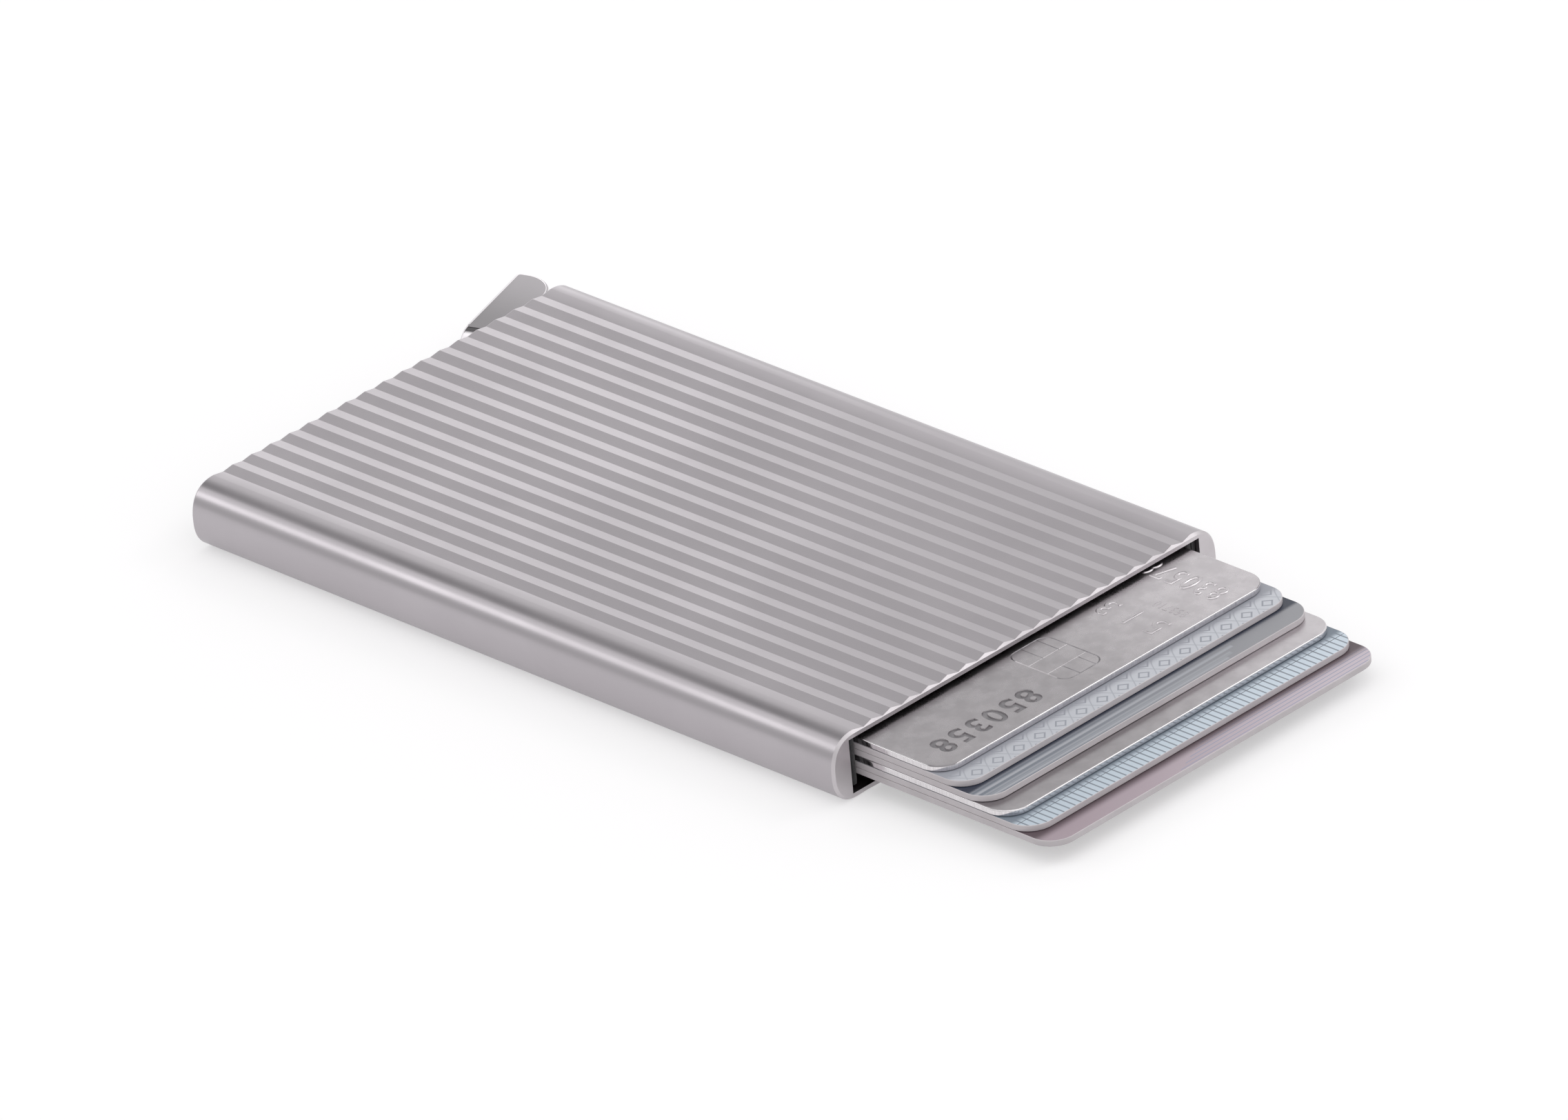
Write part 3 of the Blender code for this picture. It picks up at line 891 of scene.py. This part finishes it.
@dataclass
class PocketCard:
    """One pocket card: its body, its print or relief, and its edges."""

    number: int
    slot: Slot
    face: Material
    edge: Material
    rim: Material
    rim_width: float
    rim_segments: int = 3
    corner: float = 3.18 * MM
    corner_segments: int = 20
    smooth_angle: float = math.radians(32)
    low: Vector = field(init=False)
    high: Vector = field(init=False)

    def __post_init__(self) -> None:
        """Read the card's box from the frame."""
        self.low, self.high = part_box(f"card_{self.number}")

    def blank(self) -> Piece:
        """Model the plain card with round corners and eased edges."""
        item = Bench.block(f"pocket_card_{self.number}", self.low, self.high)
        Bench.bevel(item, lambda a, b: abs(a.z - b.z) > EPSILON, self.corner, self.corner_segments)
        Bench.bevel(item, lambda a, b: abs(a.z - b.z) < EPSILON, self.rim_width, self.rim_segments)
        return item

    def relief(self, item: Piece) -> None:
        """Add what stands out of the face; a plain card has nothing."""

    def materials(self) -> tuple[Material, ...]:
        """Give the card's materials, in the order that choose counts them."""
        return self.face, self.edge, self.rim

    def choose(self, centre: Vector, normal: Vector) -> int:
        """Pick a material's number for one face: broad face, edge or sloped rim."""
        tilt = abs(normal.z)
        return 0 if tilt > LEVEL else 1 if tilt < UPRIGHT else 2

    def build(self) -> Piece:
        """Model the card and dress it."""
        item = self.blank()
        self.relief(item)
        Bench.finish(item, self.smooth_angle)
        Bench.paint(item, self.materials(), self.choose)
        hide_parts(f"card_{self.number}")
        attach(item, f"card_{self.number}_body")
        return item


@dataclass(frozen=True)
class DigitRow:
    """A row of plain digits with sloped sides, raised from a face or pressed into it."""

    text: str
    size: float
    across: float  # where the row starts along X
    inward: float  # where it starts, in from the card's front edge
    turn: float
    slopes: tuple[Span, ...]  # each sloped band's width and height, outermost first
    thicker: float  # how much each stroke gains on each side
    width: float = 1.0
    spacing: float = 1.2
    pressed: bool = False

    ROOT = 0.1 * MM  # half of the height that the slopes are built on
    BELOW = 0.02 * MM  # how far under the face the slopes start
    SHORTEST = 0.06 * MM  # the shortest stretch of outline that a large digit keeps
    FINEST = 60  # how many times a small digit's shortest stretch goes into its height
    CURVE_STEPS = 4
    FACING_UP = 0.9

    def build(self, front: float, level: float) -> Piece:
        """Make the row as one solid that crosses the card's face.

        Args:
            front: Where the card's front edge lies along Y.
            level: The height of the card's face.

        Returns:
            The row.
        """
        top = level - self.BELOW
        bpy.ops.object.select_all(action="DESELECT")
        bpy.ops.object.text_add(location=(self.across, front + self.inward, top - self.ROOT),
                                rotation=(0, 0, self.turn))
        row = bpy.context.object
        row.name = f"digits_{self.text}"
        row.data.body = self.text
        row.data.size = self.size
        row.data.resolution_u = self.CURVE_STEPS
        row.data.space_character = self.spacing
        row.data.extrude = self.ROOT
        row.data.offset = self.thicker
        row.scale.x = self.width
        bpy.ops.object.convert(target="MESH")
        row = bpy.context.object
        Bench.set_in_place(row)
        with Bench.whole(row):
            bpy.ops.mesh.remove_doubles(threshold=min(self.SHORTEST, self.size / self.FINEST))
            bpy.ops.mesh.dissolve_limited(angle_limit=ONE_PLANE)
            bpy.ops.mesh.normals_make_consistent(inside=False)
        for width, height in self.slopes:
            with Bench.picked(row, Pick.FACES, lambda centre, normal: normal.z > self.FACING_UP
                              and abs(centre.z - top) < EPSILON / 4):
                bpy.ops.mesh.inset(thickness=width, depth=height)
            top += height
        if self.pressed:
            row.location.z = 2 * level
            row.scale.z = -1
            Bench.set_in_place(row)
            with Bench.whole(row):
                bpy.ops.mesh.normals_make_consistent(inside=False)
        return row


@dataclass
class EmbossedCard(PocketCard):
    """The top card, with plain embossed numbers and a contact pad's grooves."""

    # painted shade for the pressed numbers' floors and the deep grooves' slopes
    floor: Material | None = None
    pressed_depth: float = 0.12 * MM
    groove_depth: float = 0.08 * MM
    groove_floor: float = 0.02 * MM
    groove_slope: Span = (0.5, 0.9)
    bar_depth: float = 0.035 * MM
    bar_shares: Span = (0.31, 0.62)
    column_shares: Span = (0.375, 0.765)
    pad_low: Span = (-3.9 * MM, 2.85 * MM)
    pad_high: Span = (2.65 * MM, 12.3 * MM)
    pad_round: float = 1.5 * MM
    pad_segments: int = 8

    def groove(self, item: Piece, start: Span, end: Span, depth: float) -> None:
        """Press one straight groove with sloped sides into the face.

        Args:
            item: The card.
            start: Where it starts, along X and in from the front edge.
            end: Where it ends.
            depth: How deep it goes.
        """
        half = 2 * self.groove_depth
        across = abs(end[0] - start[0]) > abs(end[1] - start[1])
        length = max(abs(end[0] - start[0]), abs(end[1] - start[1])) / 2
        reach = Vector((length, half, half) if across else (half, length, half))
        bar = Bench.block("pad_groove", -reach, reach)
        bar.rotation_euler = (math.pi / 4, 0, 0) if across else (0, math.pi / 4, 0)
        bar.location = ((start[0] + end[0]) / 2, self.low.y + (start[1] + end[1]) / 2,
                        self.high.z + half * math.sqrt(2) - depth)
        Bench.set_in_place(bar)
        Bench.combine(item, bar, Join.CUT)

    def pad_outline(self, item: Piece) -> None:
        """Press the rounded outline of the contact pad, with sloped sides.

        Args:
            item: The card.
        """
        front, level, depth = self.low.y, self.high.z, self.groove_depth
        over = 0.1 * MM
        (left, near), (right, deep) = self.pad_low, self.pad_high

        def rounded(name: str, inset: float, low: float, high: float) -> Piece:
            """Make a block with round corners.

            Args:
                name: The object's name.
                inset: How far inside the pad's outline it stays.
                low: The height of its underside.
                high: The height of its top.

            Returns:
                The block.
            """
            block = Bench.block(name, (left + inset, front + near + inset, low),
                                (right - inset, front + deep - inset, high))
            Bench.bevel(block, lambda a, b: abs(a.z - b.z) > EPSILON, self.pad_round - inset,
                        self.pad_segments)
            return block

        outer = rounded("pad_outer", -over, level - depth, level + 3 * over)
        Bench.bevel(outer, lambda a, b: max(a.z, b.z) < level - depth + EPSILON, depth + over, 1)
        inner = rounded("pad_inner", depth + self.groove_floor, level - 3 * over, level + over)
        Bench.bevel(inner, lambda a, b: min(a.z, b.z) > level + over - EPSILON, depth + over, 1)
        Bench.combine(outer, inner, Join.CUT)
        Bench.combine(item, outer, Join.CUT)

    def relief(self, item: Piece) -> None:
        """Raise or press the numbers, and press the contact pad's grooves.

        Args:
            item: The card.
        """
        into = math.pi / 2
        broad = ((0.1 * MM, 0.12 * MM), (0.08 * MM, 0.03 * MM))
        small = ((0.03 * MM, 0.06 * MM),)
        steep = ((0.05 * MM, self.pressed_depth + DigitRow.BELOW),)
        for row in (
                DigitRow("51380", 4.7 * MM, 13.05 * MM, 2.1 * MM, into, broad, 0.08 * MM, spacing=1.6),
                DigitRow("853710", 2.0 * MM, 16.05 * MM, 2.3 * MM, into, small, 0.02 * MM, 0.7),
                DigitRow("8305781", 4.65 * MM, 22.8 * MM, 2.1 * MM, into, broad, 0.08 * MM, 0.74),
                DigitRow("850358", 4.6 * MM, -7.6 * MM, 5.6 * MM, math.pi, steep, 0.12 * MM,
                         pressed=True)):
            solid = row.build(self.low.y, self.high.z)
            Bench.combine(item, solid, Join.CUT if row.pressed else Join.ADD)
        self.pad_outline(item)
        (left, near), (right, deep) = self.pad_low, self.pad_high
        seam = self.groove_depth + self.groove_floor / 2
        bars = [near + (deep - near) * share for share in self.bar_shares]
        for bar in bars:
            self.groove(item, (left + seam, bar), (right - seam, bar), self.bar_depth)
        for share in self.column_shares:
            place = left + (right - left) * share
            self.groove(item, (place, near + seam), (place, bars[0]), self.groove_depth)
            self.groove(item, (place, bars[1]), (place, deep - seam), self.groove_depth)

    def materials(self) -> tuple[Material, ...]:
        """Give the card's materials, with the painted shade of the pressed numbers' floor last."""
        return *super().materials(), self.floor

    def choose(self, centre: Vector, normal: Vector) -> int:
        """Pick a material's number for one face.

        Args:
            centre: The face's centre.
            normal: The face's normal.

        Returns:
            3 for the pressed numbers' floor and the deep grooves' slopes, which carry painted
            shade; else see PocketCard.
        """
        margin = self.rim_width + EPSILON
        on_face = (centre.z > (self.low.z + self.high.z) / 2
                   and self.high.x - abs(centre.x) > margin and centre.y - self.low.y > margin)
        if not on_face or normal.z <= UPRIGHT:
            return super().choose(centre, normal)
        # The pressed floors and the deep grooves' slopes get the painted shade.
        below = self.high.z - centre.z
        pressed = normal.z > LEVEL and below > self.pressed_depth - EPSILON
        groove = (self.groove_slope[0] < normal.z < self.groove_slope[1]
                  and self.bar_depth / 2 + EPSILON < below < self.groove_depth)
        return 3 if pressed or groove else 0


@dataclass
class FingerTab:
    """The polished finger tab on the end of the lever, modelled shut and swung open."""

    flat: Material
    # the lighter chrome of the rounded edges, a painted highlight
    bright: Material
    pivot: Vector
    open_angle: float
    half_width: float
    start: float = 8.0 * MM
    outer_edge: float = 3.74 * MM
    inner_edge_near: float = 2.8 * MM
    inner_edge_far: float = 1.75 * MM
    side_proud: float = 0.7 * MM
    tip_radius: float = 0.7 * MM
    tip_segments: int = 14
    heel_radius: float = 4.0 * MM
    heel_segments: int = 24
    roll_radius: float = 2.9 * MM
    roll_segments: int = 30
    eased: float = 0.4 * MM
    eased_segments: int = 5
    slot_end: float = 19.1 * MM
    slot_outer: float = 1.7 * MM
    slot_half_height: float = 1.3 * MM
    pin_places: Span = (11.2 * MM, 16.0 * MM)
    pin_setback: float = 0.05 * MM
    pin_hole: float = 1.0 * MM
    pin_segments: int = 40
    pin_skin: float = 0.9 * MM
    smooth_angle: float = math.radians(35)
    flat_tilt: float = 0.995
    # normals whose faces keep the plain chrome, a thin line amid the painted highlight
    grey_line: Span = (0.84, 0.95)

    def cut_tongue_slot(self, item: Piece, floor: float, roof: float) -> None:
        """Cut the slot for the lever's tongue, and the holes for its two rivets.

        Args:
            item: The tab, modelled shut with the pivot at the origin.
            floor: The height of its underside.
            roof: The height of its top.
        """
        middle = (floor + roof) / 2
        slot = Bench.block("slot_cutter", (self.start - OVERRUN, -self.inner_edge_near - OVERRUN,
                                           middle - self.slot_half_height),
                           (self.slot_end, self.slot_outer, middle + self.slot_half_height))
        Bench.combine(item, slot, Join.CUT)
        low, high = floor - OVERRUN, roof - self.pin_skin
        for place in self.pin_places:
            bpy.ops.object.select_all(action="DESELECT")
            bpy.ops.mesh.primitive_cylinder_add(
                vertices=self.pin_segments, radius=self.pin_hole, depth=high - low,
                location=(place, -self.pin_setback, (low + high) / 2))
            hole = bpy.context.object
            Bench.set_in_place(hole)
            Bench.combine(item, hole, Join.CUT)

    def choose(self, centre: Vector, normal: Vector) -> int:
        """Pick a material's number for one face.

        Args:
            centre: The face's centre.
            normal: The face's normal.

        Returns:
            0 for the flat faces and a thin line round them, 1 for the rest, which carries a painted
            highlight.
        """
        place = centre - self.pivot
        along = place.x * math.cos(self.open_angle) + place.y * math.sin(self.open_angle)
        tilt = abs(normal.z)
        # Rounded faces get the lighter chrome, a painted highlight; past the roll a thin line keeps the
        # plain chrome.
        if along < self.start + self.roll_radius:
            return int(tilt < LEVEL)
        return int(tilt < self.flat_tilt and not self.grey_line[0] < tilt < self.grey_line[1])

    def build(self) -> Piece:
        """Model the tab and dress it."""
        low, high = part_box("lever_tab")
        end = self.half_width + self.side_proud - self.pivot.x
        item = Bench.block("finger_tab", (self.start, -self.inner_edge_near, low.z),
                           (end, self.outer_edge, high.z))
        taper = self.inner_edge_near - self.inner_edge_far
        Bench.move_points(item, lambda point: point.x > end - EPSILON and point.y < 0, (0, taper, 0))
        for side, radius, segments in ((1, self.tip_radius, self.tip_segments),
                                       (-1, self.heel_radius, self.heel_segments)):
            Bench.bevel(item, lambda a, b: abs(a.z - b.z) > EPSILON and min(a.x, b.x) > end - EPSILON
                        and min(a.y * side, b.y * side) > 0, radius, segments)
        guide = Bench.block("side_guide", (self.start, -self.inner_edge_near - OVERRUN, low.z),
                            (end + OVERRUN, self.outer_edge + OVERRUN, high.z))
        Bench.bevel(guide, lambda a, b: abs(a.y - b.y) > EPSILON
                    and max(a.x, b.x) < self.start + EPSILON, self.roll_radius, self.roll_segments)
        Bench.combine(item, guide, Join.KEEP_COMMON)
        with Bench.whole(item):
            bpy.ops.mesh.remove_doubles(threshold=EPSILON)
            bpy.ops.mesh.dissolve_limited(angle_limit=ONE_PLANE)
        Bench.round_sharp_edges(item, self.eased, self.eased_segments, clamp=False)
        self.cut_tongue_slot(item, low.z, high.z)
        item.location = (self.pivot.x, self.pivot.y, 0)
        item.rotation_euler = (0, 0, self.open_angle)
        Bench.set_in_place(item)
        Bench.finish(item, self.smooth_angle)
        Bench.paint(item, (self.flat, self.bright), self.choose)
        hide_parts("lever_tab")
        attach(item, "lever")
        return item


@dataclass(frozen=True)
class InnerPiece:
    """One inner piece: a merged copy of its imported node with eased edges."""

    node: str
    name: str
    slot: Slot
    material: Material
    eased: float
    body: str = "holder"
    eased_segments: int = 2
    smooth_angle: float = math.radians(35)

    def build(self) -> Piece:
        """Model the piece and dress it."""
        item = Bench.copy_of_node(self.node, self.name)
        Bench.round_sharp_edges(item, self.eased, self.eased_segments)
        Bench.finish(item, self.smooth_angle)
        Bench.paint(item, (self.material,))
        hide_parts(self.node)
        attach(item, self.body)
        return item


@dataclass(frozen=True)
class Softbox:
    """A soft rectangular studio lamp, hung in a direction from the point that it lights."""

    name: str
    direction: Point
    distance: float
    width: float
    height: float
    level: float  # its brightness, where 1 is about the white of the floor
    aim: Point = (0, 0, 0)

    POWER = 4  # what one square metre takes for a level of 1

    def hang(self) -> None:
        """Add the lamp, turned to the point that it lights."""
        away = Vector(self.direction).normalized()
        data = bpy.data.lights.new(self.name, "AREA")
        data.shape = "RECTANGLE"
        data.size = self.width
        data.size_y = self.height
        data.energy = self.level * self.POWER * self.width * self.height
        lamp = bpy.data.objects.new(self.name, data)
        lamp.location = Vector(self.aim) + away * self.distance
        lamp.rotation_mode = "QUATERNION"
        lamp.rotation_quaternion = (-away).to_track_quat("-Z", "Y")
        bpy.context.scene.collection.objects.link(lamp)


@dataclass(frozen=True)
class Studio:
    """The floor, the light and the camera.

    The sky is a brightness for each height. A dark flag, a greyer wall and a round front
    flag lie over it, each with the ranges of height, X or Y that its edges fade over.
    """

    camera_place: Point = (-1.4100, -1.4926, 1.1156)
    camera_aim: Point = (0.0068, -0.0060, 0.0001)
    camera_roll: float = math.radians(5.17)
    camera_lens: float = 470.9
    camera_sensor: float = 36.0
    camera_clip: Span = (0.01, 100.0)
    floor_half: float = 6.0
    floor_level: float = -0.02 * MM
    floor_colour: Colour = shade(200, 199, 200)
    floor_glow: float = 0.46
    mirrored_glow: float = 0.75
    sky: tuple[Span, ...] = ((0.0, 0.8), (0.20, 0.82), (0.33, 0.84), (0.48, 0.92), (0.66, 0.99),
                             (0.80, 1.0), (0.92, 1.15), (1.0, 1.3))
    flag: tuple[Span, Span, Span, Span] = ((0.67, 0.7), (0.88, 0.91), (-0.2, -0.08), (0.0, 0.2))
    flag_level: float = 0.13
    wall: tuple[Span, Span] = ((-0.64, -0.5), (0.35, 0.5))
    wall_strength: float = 0.3
    front_flag: Point = (0.6, -0.66, 0.45)
    front_flag_edge: Span = (0.95, 0.99)
    front_flag_strength: float = 0.6
    softboxes: tuple[Softbox, ...] = (
        Softbox("left_back_softbox", (-0.57, 0.64, 0.52), 0.7, 0.2, 0.18, 0.9),
        Softbox("right_front_softbox", (0.6, -0.42, 0.68), 0.8, 0.26, 0.26, 1.5),
        Softbox("far_corner_softbox", (0.72, 0.64, 0.25), 0.3, 0.11, 0.09, 0.42, (0, 0.055, 0)))

    def place_camera(self) -> None:
        """Stand the camera where the photograph was taken from."""
        data = bpy.data.cameras.new("camera")
        data.lens = self.camera_lens
        data.sensor_width = self.camera_sensor
        data.clip_start, data.clip_end = self.camera_clip
        camera = bpy.data.objects.new("camera", data)
        place = Vector(self.camera_place)
        ahead = Vector(self.camera_aim) - place
        turn = ahead.to_track_quat("-Z", "Y").to_matrix().to_4x4()
        camera.matrix_world = (Matrix.Translation(place) @ turn
                               @ Matrix.Rotation(-self.camera_roll, 4, "Z"))
        bpy.context.scene.collection.objects.link(camera)
        bpy.context.scene.camera = camera

    def lay_floor(self) -> None:
        """Lay the pale floor that the object stands on."""
        bpy.ops.object.select_all(action="DESELECT")
        bpy.ops.mesh.primitive_plane_add(size=2 * self.floor_half, location=(0, 0, self.floor_level))
        floor = bpy.context.object
        floor.name = "floor"
        graph = MaterialGraph("pale_floor")
        rays = graph.add("ShaderNodeLightPath").outputs
        mirrored = graph.math("MULTIPLY", rays["Is Glossy Ray"], self.mirrored_glow)
        seen = graph.fold("MAXIMUM", rays["Is Camera Ray"], mirrored, rays["Is Transmission Ray"])
        looks = {"Base Color": self.floor_colour, "Roughness": 1.0, "Specular IOR Level": 0.0,
                 "Emission Color": (1, 1, 1, 1),
                 "Emission Strength": graph.math("MULTIPLY", seen, self.floor_glow)}
        for name, value in looks.items():
            graph.set_input(graph.shader[name], value)
        floor.data.materials.append(graph.material)

    def light(self) -> None:
        """Fill the studio with a pale horizon, dark flags, a grey wall and soft lamps."""
        world = bpy.data.worlds.new("studio")
        bpy.context.scene.world = world
        world.use_nodes = True
        graph = Graph(world.node_tree)
        ray = graph.add("ShaderNodeTexCoord").outputs["Generated"]
        across, along, height = graph.add("ShaderNodeSeparateXYZ", {0: ray}).outputs
        ramp = graph.add("ShaderNodeValToRGB", {0: height})
        ramp.color_ramp.interpolation = "EASE"
        elements = ramp.color_ramp.elements
        while len(elements) < len(self.sky):
            elements.new(0.5)
        for element, (place, level) in zip(elements, self.sky):
            element.position = place
            element.color = (level, level, level, 1)
        bottom, top, left, front = self.flag
        flag = graph.fold("MULTIPLY", graph.ease(height, *bottom), graph.ease(height, *top, 1.0, 0.0),
                          graph.ease(across, *left), graph.ease(along, *front))
        wall = graph.math("MULTIPLY", graph.ease(across, *self.wall[0], 1.0, 0.0),
                          graph.ease(height, *self.wall[1], self.wall_strength, 0.0))
        shades = graph.mix(wall, ramp.outputs[0], BLACK)
        facing = graph.add("ShaderNodeVectorMath", {0: ray, 1: self.front_flag},
                           operation="DOT_PRODUCT").outputs["Value"]
        facing = graph.ease(facing, *self.front_flag_edge, 0.0, self.front_flag_strength)
        dark = (self.flag_level, self.flag_level, self.flag_level, 1)
        background = world.node_tree.nodes["Background"].inputs
        graph.set_input(background["Color"], graph.mix(flag, graph.mix(facing, shades, BLACK), dark))
        background["Strength"].default_value = 1.0
        for softbox in self.softboxes:
            softbox.hang()


def all_cards(finishes: Finishes) -> list[PocketCard]:
    """Describe the six cards, top one first.

    Args:
        finishes: The materials.

    Returns:
        The cards.
    """
    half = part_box("card_1")[1].x

    def front(number: int) -> float:
        """Give a card's front edge."""
        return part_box(f"card_{number}")[0].y

    # Each print's fourth colour is painted shade: the card above's shade and reflection on it.
    lattice = WaveLatticePrint("wave_lattice_print", shade(188, 190, 197), shade(200, 202, 209),
                               shade(150, 153, 163), shade(156, 158, 167), front(2), half).make()
    bands = BandPrint("stepped_band_print", shade(112, 118, 129), shade(150, 150, 155),
                      shade(166, 168, 175), shade(48, 54, 70), front(3), half, (2.5 * MM, 3.2 * MM),
                      width_share=0.42, limit=13.0 * MM, second_strength=0.45).make()
    rules = RulePrint("fine_rule_print", shade(190, 202, 213), shade(206, 217, 228),
                      shade(92, 100, 112), shade(122, 132, 144), front(5), half,
                      (2.3 * MM, 3.4 * MM)).make()
    lines = BandPrint("thin_line_print", shade(164, 147, 156), shade(200, 188, 197),
                      shade(140, 150, 176), shade(92, 78, 84), front(6), half,
                      (1.7 * MM, 3.3 * MM), pitch=0.6 * MM, width_share=0.16, limit=-6.0 * MM,
                      step=1.4 * MM, beyond=True).make()
    metal = (finishes.card_edge, finishes.polished_rim, 0.14 * MM)
    plastic = (finishes.card_core, finishes.card_core, 0.07 * MM)
    return [
        EmbossedCard(1, Slot.CARD_BRUSHED, finishes.card_cloudy, *metal, floor=finishes.shaded_recess),
        PocketCard(2, Slot.CARD_PALE_BLUE, lattice, *plastic),
        PocketCard(3, Slot.CARD_SLATE, bands, *plastic),
        PocketCard(4, Slot.CARD_SATIN, finishes.card_satin, *metal),
        PocketCard(5, Slot.CARD_SKY, rules, *plastic),
        PocketCard(6, Slot.CARD_MAUVE, lines, *plastic),
    ]


def inner_pieces(finishes: Finishes) -> list[InnerPiece]:
    """Describe the mechanism and the liners.

    Args:
        finishes: The materials.

    Returns:
        The pieces.
    """
    plastic = Slot.PLASTIC, finishes.plastic
    steel = Slot.STEEL, finishes.steel
    pieces = [
        InnerPiece("base", "moulded_base", *plastic, 0.12 * MM),
        InnerPiece("mechanism_cover", "stamped_cover", *steel, 0.05 * MM),
        InnerPiece("lever_arm", "stepped_arm", *plastic, 0.08 * MM, "lever"),
        InnerPiece("lever_stop", "rubber_stop", Slot.RUBBER, finishes.rubber, 0.15 * MM),
        InnerPiece("detent_spring", "leaf_spring", *steel, 0.04 * MM),
        InnerPiece("pivot_pin", "turned_pivot_pin", *steel, 0.15 * MM),
    ]
    for node, name, ends, look, eased, body in (
            ("pivot_washer", "thin_washer", ("lower", "upper"), steel, 0.05, "holder"),
            ("strip_carrier", "liner_rail", ("left", "right"), plastic, 0.08, "holder"),
            ("friction_strip", "felt_strip", ("left", "right"), (Slot.FELT, finishes.felt), 0.2, "holder"),
            ("tab_pin", "tab_rivet", (1, 2), steel, 0.1, "lever")):
        pieces += [InnerPiece(f"{node}_{end}", f"{name}_{end}", *look, eased * MM, body) for end in ends]
    return pieces


def main() -> None:
    """Build the studio and every piece."""
    bpy.context.scene.view_settings.view_transform = "Standard"
    studio = Studio()
    studio.place_camera()
    studio.lay_floor()
    studio.light()
    finishes = Finishes()
    sleeve = Sleeve(finishes.anodised, finishes.machined)
    hinge = next(joint for joint in frame["joints"] if joint["name"] == "lever_hinge")
    tab = FingerTab(finishes.chrome, finishes.chrome_painted_highlight, Vector(hinge["pos_m"]),
                    -math.radians(hinge["range_deg"][0]), sleeve.high.x)
    for piece in (sleeve, *all_cards(finishes), tab, *inner_pieces(finishes)):
        item = piece.build()
        log.info("%s: %d faces", item.name, len(item.data.polygons))


if __name__ == "__main__":
    main()
